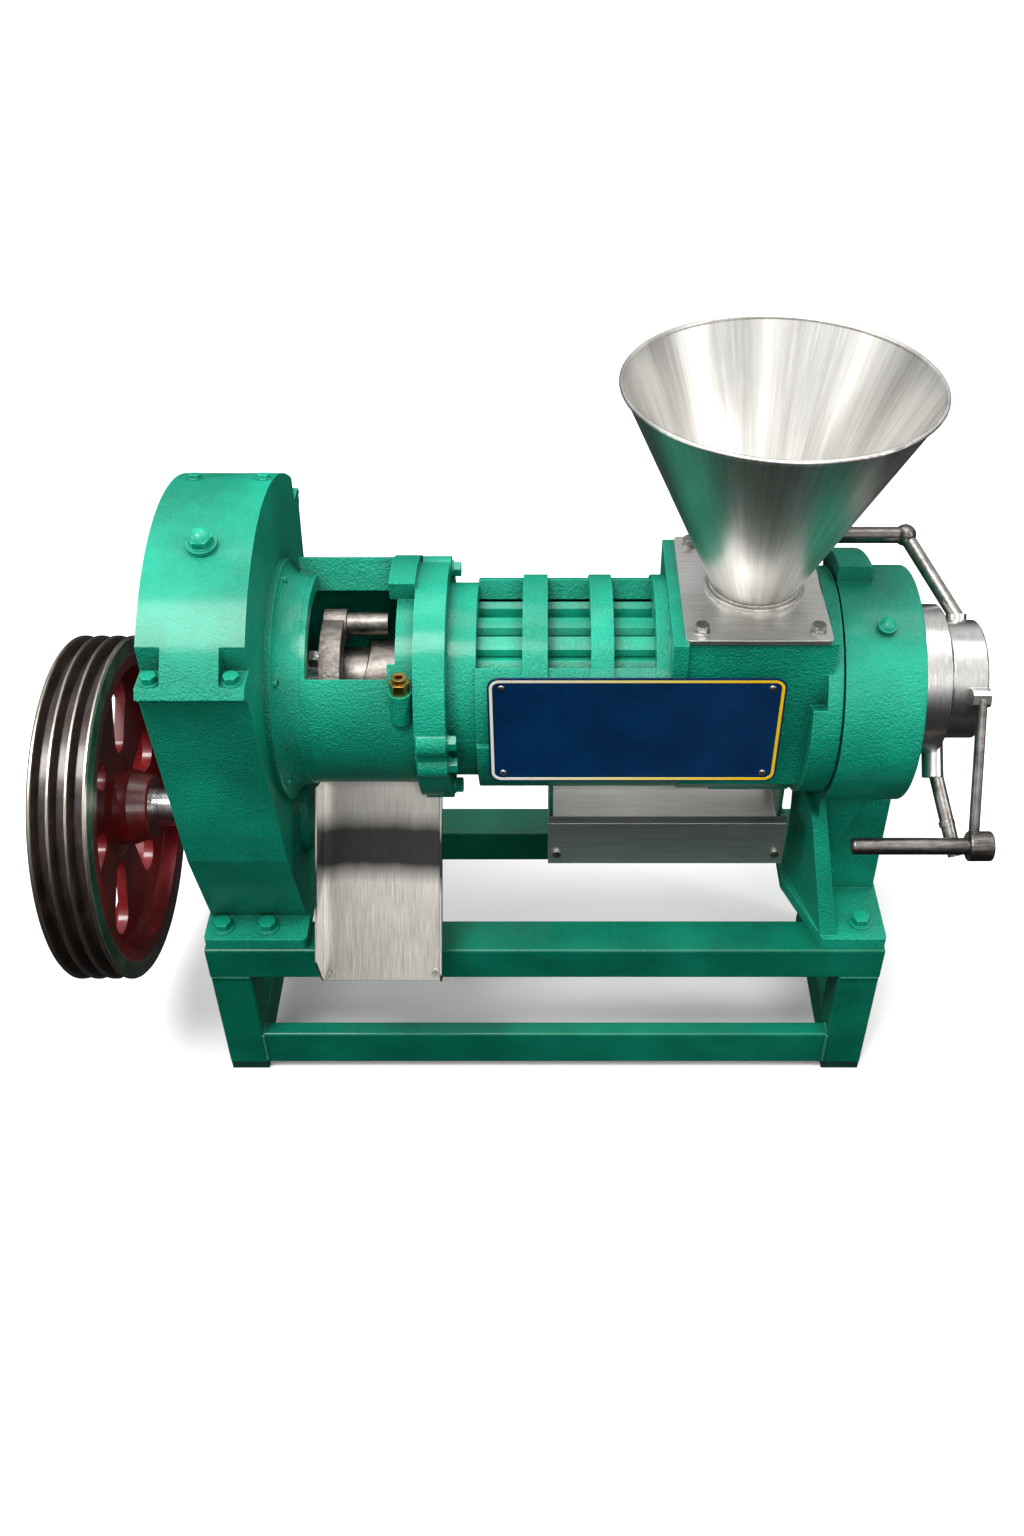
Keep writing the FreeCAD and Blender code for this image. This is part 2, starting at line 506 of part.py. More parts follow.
for x in CB:
    for s in (-1, 1):
        low = low.cut(cylz(490, 530, 4.8, x, s * 99))
save("cage_lower", low)
cbolts = []
for x in CB:
    for s in (-1, 1):
        b = fuse([cylz(494, 566, 4.7, x, s * 99), cylz(566, 578, 8.2, x, s * 99)])
        b = b.cut(polyz([(x + 4.6 * math.cos(math.radians(60 * k)), s * 99 + 4.6 * math.sin(math.radians(60 * k)))
                         for k in range(6)], 572, 580))
        cbolts.append(b)
save("cage_bolts", group(cbolts))
save("flange_bolts", group(body_bolts + [hexbolt((CAGE_L, *ang(a, 118)), (1, 0, 0), 15, 8, 9.6, 2.0, 4.9, 15) for a in FL_BOLTS]))
# bars: a barrel of staves with drainage gaps, held by two seat rings
bars = []
st = 360.0 / BARS
for k in range(BARS):
    c = k * st + st / 2
    gap = 0.32
    b = sector(-97, CAGE_R - 1, BAR_RI, BAR_RO, c - st / 2 + gap, c + st / 2 - gap)
    for e in (c - st / 2, c + st / 2):
        t = math.radians(e)
        r0, r1, hw = BAR_RO - 6.5, BAR_RO + 6, 6.2
        q = [(r0, 0), (r1, hw * 1.9), (r1, -hw * 1.9)]
        yz = [(-(a * math.cos(t) - d * math.sin(t)), Z_AXIS + a * math.sin(t) + d * math.cos(t)) for a, d in q]
        b = b.cut(polyx(yz, -98, CAGE_R))
    if 90 < c < 108:                 # the bar at the top of each window lies deeper, and oil gathers over it
        for x0, x1 in BAYS:
            b = b.cut(sector(x0, x1, 66, 90, c - 10, c + 10))
    bars.append(b)
save("cage_bars", group(bars))
save("bar_seats", group([tubex(a, b, CAGE_RI, BAR_RO) for a, b in ((-92, -72), (-18, 1), (51, 68), (116, CAGE_R - 2))]))

# ---------------------------------------------------------------- feed body and hopper
fp = [(-94, 640), (-94, 456), (-66, 426), (66, 426), (94, 456), (94, 640)]
feed = polyx(fp, FEED_L, FEED_R + 6)
endp = fuse([cylx(CAGE_R, FEED_L, 116), box(CAGE_R, FEED_L, -98, 98, Z_AXIS, 640)])
rfl = fuse([cylx(285, 300, 122), sector(271, 286, 60, 122, -95, 22), sector(271, 286, 60, 122, 158, 275),
            box(FEED_R, 290, -94, 94, Z_AXIS, 640)])
feed = fuse([feed, endp, rfl, box(183, 272, -44, 44, 404, 430)])
feed = cut(feed, [cylx(CAGE_R - 1, 289, 50), cylx(288, 301, 31)])
well = polyy([(158, 641), (262, 641), (254, Z_AXIS), (166, Z_AXIS)], -46, 46)
feed = feed.cut(well)
HB = ((156, -80), (271, -80), (156, 80), (271, 80))
for x, y in HB:
    feed = feed.cut(cylz(624, 641, 5, x, y))
save("feed_body", feed)
plate = box(140, 284.8, -96, 96, 640, PLATE_Z)
plate = plate.makeFillet(5, [e for e in plate.Edges if abs(e.Vertexes[0].Z - e.Vertexes[1].Z) > 3])
plate = plate.cut(cylz(630, 660, HOP_NECK_R - 2, HOP_X - 6, 0))
for x, y in HB:
    plate = plate.cut(cylz(630, 660, 5.2, x, y))
save("hopper_plate", plate)
save("hopper_bolts", group([hexbolt((x, y, PLATE_Z), (0, 0, 1), 13, 7, 8.2, 1.5, 4.9, 19) for x, y in HB]))
HXN = HOP_X - 6

# cone: leans a little, neck centred on the plate opening
def hop_cone(r0, r1, z0, z1, x0, x1):
    a = Part.Wire(Part.makeCircle(r0, V(x0, 0, z0), V(0, 0, 1)))
    b = Part.Wire(Part.makeCircle(r1, V(x1, 0, z1), V(0, 0, 1)))
    return Part.makeLoft([a, b], True, True)


wall = 2.0
hop = hop_cone(HOP_NECK_R + wall, HOP_RIM_R, 652, HOP_TOP, HXN, HOP_X).cut(
    hop_cone(HOP_NECK_R - 0.3, HOP_RIM_R - 0.1, 652 - 0.5, HOP_TOP + 4.4, HXN, HOP_X))
lip = Part.makeTorus(HOP_RIM_R - 0.6, 2.6, V(HOP_X, 0, HOP_TOP), V(0, 0, 1))
neck = cylz(PLATE_Z, 653.5, HOP_NECK_R + wall, HXN, 0).cut(cylz(PLATE_Z - 1, 656, HOP_NECK_R - 0.3, HXN, 0))
hop = fuse([hop, neck])
hop = fuse([hop, lip])
save("hopper", hop)
save("hopper_collar", cylz(PLATE_Z, 650, HOP_NECK_R + 7, HXN, 0).cut(cylz(PLATE_Z - 1, 656, HOP_NECK_R + wall, HXN, 0)))

# ---------------------------------------------------------------- thrust housing on its pedestal
HZ = 520.0
hs = fuse([cylx(HSG_L, HSG_R, HSG_RAD, 0, HZ)])
hs = hs.makeFillet(3.0, [e for e in hs.Edges if e.Curve.__class__.__name__ == "Circle" and e.BoundBox.XMin > HSG_R - 1])
pad = sector(HSG_L, 339, 110, 141, 92, 130)
pad = pad.makeFillet(8.0, [e for e in pad.Edges if e.BoundBox.XMin > 338 and e.BoundBox.XLength < 0.1
                           and e.BoundBox.ZMax > Z_AXIS + 118 and e.Length > 60])
web_p = box(304, 393, -36, 36, Z_BED + 14, 430)


def wing(sg):
    """Side wing of the pedestal: swings outwards and to the right as it runs down to the foot."""
    wires = []
    for z, pts in ((430, ((290, 76), (306, 76), (306, 0), (290, 0))), (Z_BED + 14, ((320, 113), (338, 113), (306, 0), (290, 0)))):
        q = [V(x, sg * y, z) for x, y in pts]
        wires.append(Part.makePolygon(q + [q[0]]))
    return Part.makeLoft(wires, True, True)


left_w = fuse([wing(-1), wing(1)])
footp = polyz([(286, -20), (286, 20), (322, 119), (FR_R, 119), (FR_R, -119), (322, -119)], Z_BED, Z_BED + 16)
footp = footp.makeFillet(5.0, [e for e in footp.Edges if abs(e.Vertexes[0].Z - e.Vertexes[1].Z) > 5])
gus = [polyy([(304, 425), (346, 425), (346, 398), (312, 300), (304, 300)], a, b) for a, b in ((-74, -62), (62, 74))]
left_w = left_w.cut(box(280, 302.5, -200, 200, 396, 440))
thr = fuse([hs, pad, cylx(300, HSG_L, 110), web_p, left_w, footp] + gus)
# the web runs out 13 mm past the housing face above the foot only
thr = cut(thr, [cylx(299, 346, 62), cylx(345, HSG_R + 1, 60), box(384, 400, -60, 60, 380, 440)])
thr = thr.cut(frame_to(cylz(-40, 30, 6, 0, 0), (344, *ang(62, 126)), (0, ang(62, 1)[0], ang(62, 1)[1] - Z_AXIS)))
PB = ((369, 92),)
for x, y in PB:
    for s in (-1, 1):
        thr = thr.cut(cylz(Z_BED - 1, Z_BED + 17, 6.2, x, s * y))
thr = fuse([thr, box(304, 344, -3.9, 3.9, Z_AXIS - 66, Z_AXIS - 57)])
save("thrust_housing", thr)
foot_bolts += [hexbolt((x, s * y, Z_BED + 16), (0, 0, 1), 18, 9, 13, 2.0, 5.8, 17) for x, y in PB for s in (-1, 1)]
save("foot_bolts", group(foot_bolts))
py, pz = ang(62, 126.5)
save("housing_plug", frame_to(fuse([cylz(-14, 1, 5.9, 0, 0), cylz(-0.5, 4.5, 9.5, 0, 0),
                                    Part.makeSphere(11, V(0, 0, -2.2)).common(cylz(4, 12, 8.6, 0, 0))]),
                              (344, py, pz), (0, py, pz - Z_AXIS)))
save("adjusting_nut", fuse([tubex(347, HSG_R, 59.95, SLEEVE_R + 0.08)]))

# ---------------------------------------------------------------- end adjustment: lock ring, sleeve, arms
lk = cylx(LOCK_L, LOCK_R, LOCK_RAD)
lk = lk.makeChamfer(1.6, [e for e in lk.Edges if e.Curve.__class__.__name__ == "Circle"])
LA = -45.0
by, bz = ang(LA, 1)
bdir = (0, by, bz - Z_AXIS)
lboss = frame_to(cylz(68, 107, 11.5, 0, 0), (419.5, 0, Z_AXIS), bdir)
lock = fuse([lk, lboss]).cut(cylx(370, 430, SLEEVE_R + 0.08))
l0 = (419.5, *ang(LA, 88))
l1 = (442, *ang(LA, 192))
lock = lock.cut(rod(l0, l1, 7.6))
save("lock_ring", lock)
lv = fuse([rod(l0, l1, 7.6), rod((433.2, *ang(LA, 154)), (434.6, *ang(LA, 160)), 8.6)])
save("lock_lever", lv)

hubc = cylx(HUB_L, HUB_R, HUB_RAD)
hubc = hubc.makeChamfer(2.0, [e for e in hubc.Edges if e.Curve.__class__.__name__ == "Circle"])
sleeve = fuse([hubc, cylx(336, HUB_L + 1, SLEEVE_R)])
sleeve = sleeve.cut(cylx(335, 440, 24))
ly, lz = ang(21, 1)
lug = polyx([(-9, 56), (9, 56), (9, 74), (5, 78), (-5, 78), (-9, 74)], 444, 463)
lug.rotate(V(0, 0, 0), V(1, 0, 0), 90 - 21)
lug.translate(V(0, 0, Z_AXIS))
sleeve = fuse([sleeve, lug, frame_to(cylz(56, 70, 11, 0, 0), (446, 0, Z_AXIS), (0, ang(128, 1)[0], ang(128, 1)[1] - Z_AXIS))])
A0, A1 = (446.5, *ang(128, 67)), (397, 120, 632)
B0, B1 = (454.5, *ang(21, 73)), (459, -150, 418)
B2 = (452.5, -150, 418)
sleeve = cut(sleeve, [rod(A0, A1, 8.0), rod(B0, B2, 5.6)])
save("adjusting_sleeve", sleeve)
armA = rod(A0, A1, 8.0).cut(Part.makeSphere(12, V(*A1)))
armB = rod(B0, B2, 5.6).cut(cylx(446, 472, 16, B1[1], B1[2]))
save("handle_arms", group([armA, armB]))
knA = Part.makeSphere(12, V(*A1)).cut(cylx(300, 397, 9, A1[1], A1[2]))
knB = cylx(446, 472, 16, B1[1], B1[2])
knB = knB.makeFillet(2.5, [e for e in knB.Edges if e.Curve.__class__.__name__ == "Circle"])
knB = knB.cut(cylx(300, 460, 9, B1[1], B1[2]))
gA = cylx(302, 397, 9, A1[1], A1[2])
gB = cylx(324, 460, 9, B1[1], B1[2])
gA = gA.makeFillet(3, [e for e in gA.Edges if e.BoundBox.XMax < 303 and e.Curve.__class__.__name__ == "Circle"])
gB = gB.makeFillet(3, [e for e in gB.Edges if e.BoundBox.XMax < 325 and e.Curve.__class__.__name__ == "Circle"])
save("handle_grips", group([fuse([gA, knA]), fuse([gB, knB])]))

# bearing cup: slides in the housing without turning and carries the shaft end
cup = cut(cylx(306, 335.6, 61.9), [cylx(305, 327, 42), cylx(326, 337, 12)])
cup = cup.cut(box(304, 337, -4, 4, Z_AXIS - 63, Z_AXIS - 56))
save("bearing_cup", cup)
save("thrust_bearing", group([bearing(309, 318, 42, 25.05, 0, Z_AXIS), bearing(319, 327, 42, 25.05, 0, Z_AXIS)]))

# ---------------------------------------------------------------- press shaft and worms
ps = fuse([cylx(-383, 300, 26), cylx(299, 326, 25)])
ps = ps.cut(box(-379.5, -282, -4, 4, Z_AXIS + 20.4, Z_AXIS + 27))
save("press_shaft", ps)
save("gear_key", box(-376, -287, -3.95, 3.95, Z_AXIS + 20.5, Z_AXIS + 29.3))


def flight(x0, x1, root, tip, pitch, t_root, t_tip, a_start):
    """Worm flight as a helicoid of planar facets between two stations."""
    n = 20
    turns = (x1 - x0 - t_root) / pitch
    steps = max(4, int(round(turns * n)))
    secs = []
    for k in range(steps + 1):
        a = a_start + 2 * math.pi * turns * k / steps
        xm = x0 + t_root / 2 + (x1 - x0 - t_root) * k / steps
        c, s = math.cos(a), math.sin(a)
        secs.append([V(xm - t_root / 2, root * c, Z_AXIS + root * s), V(xm - t_tip / 2, tip * c, Z_AXIS + tip * s),
                     V(xm + t_tip / 2, tip * c, Z_AXIS + tip * s), V(xm + t_root / 2, root * c, Z_AXIS + root * s)])
    faces = []

    def tri(a, b, c):
        faces.append(Part.Face(Part.makePolygon([a, b, c, a])))

    for k in range(steps):
        p, q = secs[k], secs[k + 1]
        for i in range(4):
            j = (i + 1) % 4
            tri(p[i], p[j], q[j])
            tri(p[i], q[j], q[i])
    for e in (secs[0], secs[-1]):
        faces.append(Part.Face(Part.makePolygon([e[0], e[1], e[2], e[3], e[0]])))
    sh = Part.makeShell(faces)
    so = Part.makeSolid(sh)
    if so.Volume < 0:
        so.reverse()
    return so


worms = []
for (x0, x1, root, pitch) in ((146, 284, 31.5, 46), (81, 144, 34, 40), (20, 79, 36.5, 36), (-38, 18, 38.5, 34), (-93, -40, 41, 32)):
    core = tubex(x0, x1, root, 26.05)
    fl = flight(x0 + 1, x1 - 1, root - 3.0, SCREW_R, pitch, 9.0, 6.0, math.radians(35 + x0))
    wseg = core.fuse(fl.cut(cylx(x0, x1, root - 1.0)))
    if len(wseg.Solids) != 1:
        print("worm solids", len(wseg.Solids))
    worms.append(wseg)
save("worm_segments", group(worms))
conep = [(-136, 26.05), (-136, 43), (-104, 43), (-95, 41), (-95, 26.05)]
w = Part.makePolygon([V(a, 0, Z_AXIS + b) for a, b in conep] + [V(conep[0][0], 0, Z_AXIS + conep[0][1])])
save("choke_cone", Part.Face(w).revolve(V(0, 0, Z_AXIS), V(1, 0, 0), 360))
# discharge sleeve: helically cut end that breaks the cake
dsl = tubex(-226, -138, 43, 26.05)
cutp = polyy([(-230, 470), (-218, 470), (-176, 590), (-230, 590)], -60, 60)
outer_r = tubex(-240, -130, 60, 34)
dsl = dsl.cut(outer_r.common(cutp))
save("cake_breaker", dsl)

# cake scraper bracket fixed to the left wall of the chamber, with a guide rod
brk = fuse([sector(-234, -212, 46, 70, 12, 150), polyx([(-66, 560), (-50, 560), (-46, 535), (-66, 535)], -262, -212)])
gy, gz = ang(112, 61)
brk = fuse([brk, cylx(-234, -210, 16, gy, gz)]).cut(cylx(-240, -200, 8, gy, gz))
save("scraper_bracket", brk)
save("scraper_rod", cut(fuse([cylx(-209.9, -166, 12.5, gy, gz), cylx(-234, -209, 7.9, gy, gz)]), []))
chamber_bolts.append(hexbolt((-234, *ang(58, 60)), (-1, 0, 0), 17, 9, 10, 2.0, 6, 0))
save("chamber_bolts", group(chamber_bolts))

# ---------------------------------------------------------------- cake chute: inclined channel under the body
cs, cc = 0.656, 0.7547
def ch(s, n):
    return (-cs * s - cc * n, 430 - cc * s + cs * n)
CX0, CX1, TH, CW = -251.0, -115.0, 2.0, 48.0
floor_ = polyx([ch(28, 0), ch(265, 0), ch(265, -TH), ch(28, -TH)], CX0, CX1)
wl = polyx([ch(28, -TH), ch(265, -TH), ch(263, 6), ch(238, CW), ch(28, CW)], CX0, CX0 + TH)
wr = polyx([ch(28, -TH), ch(265, -TH), ch(265, 8), ch(257, 14), ch(28, 14)], CX1 - TH, CX1)
flg = polyx([ch(28, -TH), ch(44, -TH), ch(44, -TH - 3), ch(28, -TH - 3)], CX0, CX1)
chute = fuse([floor_, wl, wr]).cut(cylx(-300, -100, 126.4).cut(cylx(-300, BODY_R - 0.3, 126.5)))
chute = chute.cut(cylx(-300, -100, 112.4))
chute = chute.cut(cylx(-132, -90, 126.4))
chute = chute.cut(cylx(-280, -247.6, 118.4))
save("cake_chute", chute)
chute_br = fuse([polyx([ch(36, -TH), ch(74, -TH), ch(74, -TH - 4), ch(36, -TH - 4)], -200, -166),
                 polyx([ch(36, -TH - 4), ch(74, -TH - 4), (8, ch(74, -TH - 4)[1]), (8, 412.4), (-20, 414)], -187, -179)])
chute_br = chute_br.cut(cylx(-300, -100, 112.05))
sheet_screws = [frame_to(fuse([cylz(0, 2.2, 4.2, 0, 0), cylz(-5, 0.3, 2.4, 0, 0)]), (CX1 - 8, *ch(256, 0)), (0, -cc, cs)),
                            frame_to(fuse([cylz(0, 2.2, 4.2, 0, 0), cylz(-5, 0.3, 2.4, 0, 0)]), (CX0 + 10, *ch(256, 0)), (0, -cc, cs))]

# ---------------------------------------------------------------- oil tray
TX0, TX1, TY0, TY1, TZ0, TZ1 = 4.0, 274.0, -60.0, 58.0, 303.0, 366.0
T = 2.0
tr = fuse([box(TX0, TX1, TY0, TY0 + T, TZ0, TZ1), box(TX0, TX1, TY0, TY0 + 12, TZ1 - T, TZ1),
           box(TX0, TX0 + T, TY0, TY1, TZ0 + 8, 358), box(TX1 - T, TX1, TY0, TY1, TZ0 + 8, 358),
           box(TX0, TX1, TY1 - T, TY1, TZ0 + 8, 358),
           polyx([(TY0, TZ0 + 14), (TY1, TZ0 + 8), (TY1, TZ0 + 10), (TY0, TZ0 + 16)], TX0, TX1)])
tr = fuse([tr, cylz(290, TZ0 + 13, 14, 36, -32)]).cut(cylz(280, TZ0 + 20, 12, 36, -32))
save("oil_tray", tr)
# hangers: two straps from the press underside down to the tray ends
h1 = fuse([box(TX0 + T, TX0 + T + 4, -30, 30, 345, 412.5)]).cut(cylx(-50, 40, 116.1))
h2 = fuse([box(TX1 - T - 4, TX1 - T, -30, 30, 345, 426)]).cut(
    box(180, 273, -45, 45, 403.9, 430)).cut(cylx(260, 300, 122.1))
studs = []
for x, z in ((-44, 494), (-44, 604), (226, 494), (226, 604)):
    d = cylz(0, 57, 5.0, 0, 0)
    d.rotate(V(0, 0, 0), V(1, 0, 0), 90)
    d.translate(V(x, -57, min(z, 556)))
    d = fuse([d, box(x - 5, x + 5, -117, -111, 488, 549) if z < 525 else box(x - 5, x + 5, -117, -111, 548.9, 607)])
    studs.append(d.cut(cylx(-100, 128, CAGE_RO if z > Z_AXIS else CAGE_RL)).cut(box(140, 290, -94, 94, 400, 640)))
save("sheet_brackets", group([chute_br, h1, h2] + studs))
save("sheet_screws", group(sheet_screws + [frame_to(fuse([cylz(0, 3, 5.0, 0, 0), cylz(-6, 0.3, 2.6, 0, 0)]), (x, TY0, 319.5), (0, -1, 0))
                           for x in (TX0 + 10, TX1 - 10)]))

# ---------------------------------------------------------------- nameplate
NPX0, NPX1, NPZ0, NPZ1, NPY = -56.0, 240.0, 482.0, 616.0, -117.0
npl = box(NPX0, NPX1, NPY - 1.6, NPY, NPZ0, NPZ1)
npl = npl.makeFillet(12, [e for e in npl.Edges if abs(e.Vertexes[0].Y - e.Vertexes[1].Y) > 1])
for x in (NPX0 + 14, NPX1 - 14):
    for z in (NPZ0 + 12, NPZ1 - 12):
        npl = npl.cut(cyly(NPY - 5, NPY + 5, 2.3, x, z))
save("nameplate", npl)

# ---------------------------------------------------------------- seats and holes, then the files
carve("blind_caps", "input_cap", "cap_screws")
carve("input_cap", "cap_screws")
carve("feed_body", "cage_bolts", "hopper_plate", "hopper_bolts")
carve("cake_chute", "sheet_screws")
carve("sheet_brackets", "cake_chute")
carve("oil_tray", "sheet_screws", "sheet_brackets")
carve("press_body", "flange_bolts")
carve("gearbox_housing", "foot_bolts", "cap_screws", "flange_bolts")
carve("gearbox_cover", "flange_bolts")
carve("top_rails", "foot_bolts")
carve("thrust_housing", "foot_bolts")
box_all = FreeCAD.BoundBox()
for name, shape in NODES.items():
    s = shape.copy()
    s.translate(V(DX, 0, 0))
    for k, so in enumerate(s.Solids):
        if not so.isValid() or so.Volume <= 0:
            print("BAD", name, k, so.isValid(), so.Volume)
    if not s.Solids:
        print("EMPTY", name)
    if len(s.Solids) == 1:
        s = s.Solids[0]
    s.exportStep("parts/%s.step" % name)
    box_all.add(s.BoundBox)
print(len(NODES), "nodes", box_all)
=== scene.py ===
import bpy
import bmesh
import json
import math
import random
from mathutils import Vector, Matrix

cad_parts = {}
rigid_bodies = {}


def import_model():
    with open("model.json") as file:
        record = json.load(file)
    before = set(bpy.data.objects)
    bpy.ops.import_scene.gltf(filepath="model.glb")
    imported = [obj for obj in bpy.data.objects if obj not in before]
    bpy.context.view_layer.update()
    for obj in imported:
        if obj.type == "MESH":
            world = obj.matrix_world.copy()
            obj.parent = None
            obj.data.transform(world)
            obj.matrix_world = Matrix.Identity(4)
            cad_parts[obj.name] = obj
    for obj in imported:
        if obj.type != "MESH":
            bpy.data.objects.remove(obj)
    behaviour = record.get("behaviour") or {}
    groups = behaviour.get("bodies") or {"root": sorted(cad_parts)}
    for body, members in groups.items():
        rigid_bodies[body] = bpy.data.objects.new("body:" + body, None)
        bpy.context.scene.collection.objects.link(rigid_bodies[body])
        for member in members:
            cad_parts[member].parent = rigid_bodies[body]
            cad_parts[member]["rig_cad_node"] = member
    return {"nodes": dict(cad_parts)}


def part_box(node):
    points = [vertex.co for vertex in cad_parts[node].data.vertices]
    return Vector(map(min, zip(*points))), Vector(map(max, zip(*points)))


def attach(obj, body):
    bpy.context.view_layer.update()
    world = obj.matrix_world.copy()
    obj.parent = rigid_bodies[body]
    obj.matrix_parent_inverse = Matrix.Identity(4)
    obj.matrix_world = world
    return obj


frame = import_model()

for _n in ("Cube", "Light", "Camera"):
    _o = bpy.data.objects.get(_n)
    if _o is not None and "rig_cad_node" not in _o:
        bpy.data.objects.remove(_o)

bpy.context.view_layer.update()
N = frame["nodes"]
DX = 0.0315                      # station offset of the model
ZA, ZI = 0.525, 0.337            # press axis and input shaft heights


def X(mm):
    return mm / 1000.0 + DX


# ------------------------------------------------------------------ node helpers
def new_mat(name):
    m = bpy.data.materials.new(name)
    m.use_nodes = True
    nt = m.node_tree
    nt.nodes.clear()
    out = nt.nodes.new("ShaderNodeOutputMaterial")
    p = nt.nodes.new("ShaderNodeBsdfPrincipled")
    nt.links.new(p.outputs[0], out.inputs[0])
    return m, nt, p


def coords(nt, scale=(1, 1, 1), loc=(0, 0, 0)):
    tc = nt.nodes.new("ShaderNodeTexCoord")
    mp = nt.nodes.new("ShaderNodeMapping")
    mp.inputs["Scale"].default_value = scale
    mp.inputs["Location"].default_value = loc
    nt.links.new(tc.outputs["Object"], mp.inputs[0])
    return mp.outputs[0]


def noise(nt, vec, scale, detail=2.0, rough=0.5, dist=0.0):
    n = nt.nodes.new("ShaderNodeTexNoise")
    n.inputs["Scale"].default_value = scale
    n.inputs["Detail"].default_value = detail
    n.inputs["Roughness"].default_value = rough
    n.inputs["Distortion"].default_value = dist
    nt.links.new(vec, n.inputs["Vector"])
    return n.outputs["Fac"]


def ramp(nt, fac, stops, interp="LINEAR"):
    r = nt.nodes.new("ShaderNodeValToRGB")
    r.color_ramp.interpolation = interp
    e = r.color_ramp.elements
    e[0].position, e[0].color = stops[0][0], col(stops[0][1])
    e[1].position, e[1].color = stops[-1][0], col(stops[-1][1])
    for pos, c in stops[1:-1]:
        k = e.new(pos)
        k.color = col(c)
    nt.links.new(fac, r.inputs[0])
    return r.outputs[0]


def col(c):
    if isinstance(c, (int, float)):
        return (c, c, c, 1)
    return (c[0], c[1], c[2], 1)


def srgb(r, g, b):
    def f(v):
        v /= 255.0
        return v / 12.92 if v <= 0.04045 else ((v + 0.055) / 1.055) ** 2.4
    return (f(r), f(g), f(b))


def mix(nt, fac, a, b, blend="MIX"):
    m = nt.nodes.new("ShaderNodeMix")
    m.data_type = "RGBA"
    m.blend_type = blend
    if isinstance(fac, (int, float)):
        m.inputs[0].default_value = fac
    else:
        nt.links.new(fac, m.inputs[0])
    for i, v in ((6, a), (7, b)):
        if isinstance(v, (tuple, list)):
            m.inputs[i].default_value = col(v)
        else:
            nt.links.new(v, m.inputs[i])
    return m.outputs[2]


def math_(nt, op, a, b=None, clamp=False):
    m = nt.nodes.new("ShaderNodeMath")
    m.operation = op
    m.use_clamp = clamp
    for i, v in enumerate((a, b)):
        if v is None:
            continue
        if isinstance(v, (int, float)):
            m.inputs[i].default_value = v
        else:
            nt.links.new(v, m.inputs[i])
    return m.outputs[0]


def edge_mask(nt, radius=0.0022, lo=0.02, hi=0.22):
    """0 on flat ground and 1 on sharp edges, from the difference between the bevelled and the true normal."""
    b = nt.nodes.new("ShaderNodeBevel")
    b.samples = 6
    b.inputs["Radius"].default_value = radius
    g = nt.nodes.new("ShaderNodeNewGeometry")
    d = nt.nodes.new("ShaderNodeVectorMath")
    d.operation = "DOT_PRODUCT"
    nt.links.new(b.outputs[0], d.inputs[0])
    nt.links.new(g.outputs["Normal"], d.inputs[1])
    inv = math_(nt, "SUBTRACT", 1.0, d.outputs["Value"])
    mr = nt.nodes.new("ShaderNodeMapRange")
    mr.inputs["From Min"].default_value = lo
    mr.inputs["From Max"].default_value = hi
    nt.links.new(inv, mr.inputs["Value"])
    return mr.outputs[0]


def bump_chain(nt, p, heights, bevel=0.0012, coat=True):
    last = None
    if bevel:
        b = nt.nodes.new("ShaderNodeBevel")
        b.samples = 6
        b.inputs["Radius"].default_value = bevel
        last = b.outputs[0]
    for fac, strength, dist in heights:
        n = nt.nodes.new("ShaderNodeBump")
        n.inputs["Strength"].default_value = strength
        n.inputs["Distance"].default_value = dist
        nt.links.new(fac, n.inputs["Height"])
        if last is not None:
            nt.links.new(last, n.inputs["Normal"])
        last = n.outputs[0]
    nt.links.new(last, p.inputs["Normal"])
    return last


# ------------------------------------------------------------------ materials
def enamel(name, dark, mid, light, speckle=0.5, rough=0.24, coat=0.5, scale=330, bevel=0.0018):
    m, nt, p = new_mat(name)
    v = coords(nt)
    big = noise(nt, v, 9.0, 3.0, 0.55)
    fine = noise(nt, v, scale, 2.0, 0.55)
    fine2 = noise(nt, v, scale * 2.3, 2.0, 0.6)
    c = ramp(nt, big, [(0.30, dark), (0.52, mid), (0.75, light)])
    # Fine light dots mixed into the enamel colour over the bump speckle: painted highlight glints.
    sp = ramp(nt, fine, [(0.42, 0.0), (0.62, 1.0)])
    c = mix(nt, math_(nt, "MULTIPLY", sp, 0.22), c, light)
    # Corners and crevices darkened towards near black by ambient occlusion: painted shade.
    ao = nt.nodes.new("ShaderNodeAmbientOcclusion")
    ao.samples = 6
    ao.inputs["Distance"].default_value = 0.022
    crevice_shade = math_(nt, "SUBTRACT", 1.0, ao.outputs["AO"])
    crevice_shade = math_(nt, "MULTIPLY", math_(nt, "POWER", crevice_shade, 1.2), 0.95, clamp=True)
    c = mix(nt, crevice_shade, c, [x * 0.16 for x in dark])
    # Sharp edges painted a brighter green, broken up by noise: a painted edge highlight.
    em = edge_mask(nt, bevel * 1.2)
    edge_glint_breakup = noise(nt, v, 60.0, 4.0, 0.7)
    e2 = math_(nt, "MULTIPLY", em, math_(nt, "MULTIPLY", edge_glint_breakup, 0.75))
    c = mix(nt, e2, c, [min(1, x * 1.9 + 0.03) for x in light])
    nt.links.new(c, p.inputs["Base Color"])
    r = math_(nt, "ADD", rough, math_(nt, "MULTIPLY", big, 0.16))
    nt.links.new(r, p.inputs["Roughness"])
    p.inputs["Coat Weight"].default_value = coat
    p.inputs["Coat Roughness"].default_value = 0.16
    p.inputs["Specular IOR Level"].default_value = 0.35
    h = [(noise(nt, v, 38.0, 2.0, 0.5), 0.22, 0.004), (fine, speckle, 0.0022), (fine2, speckle * 0.7, 0.0013)]
    bump_chain(nt, p, h, bevel)
    return m


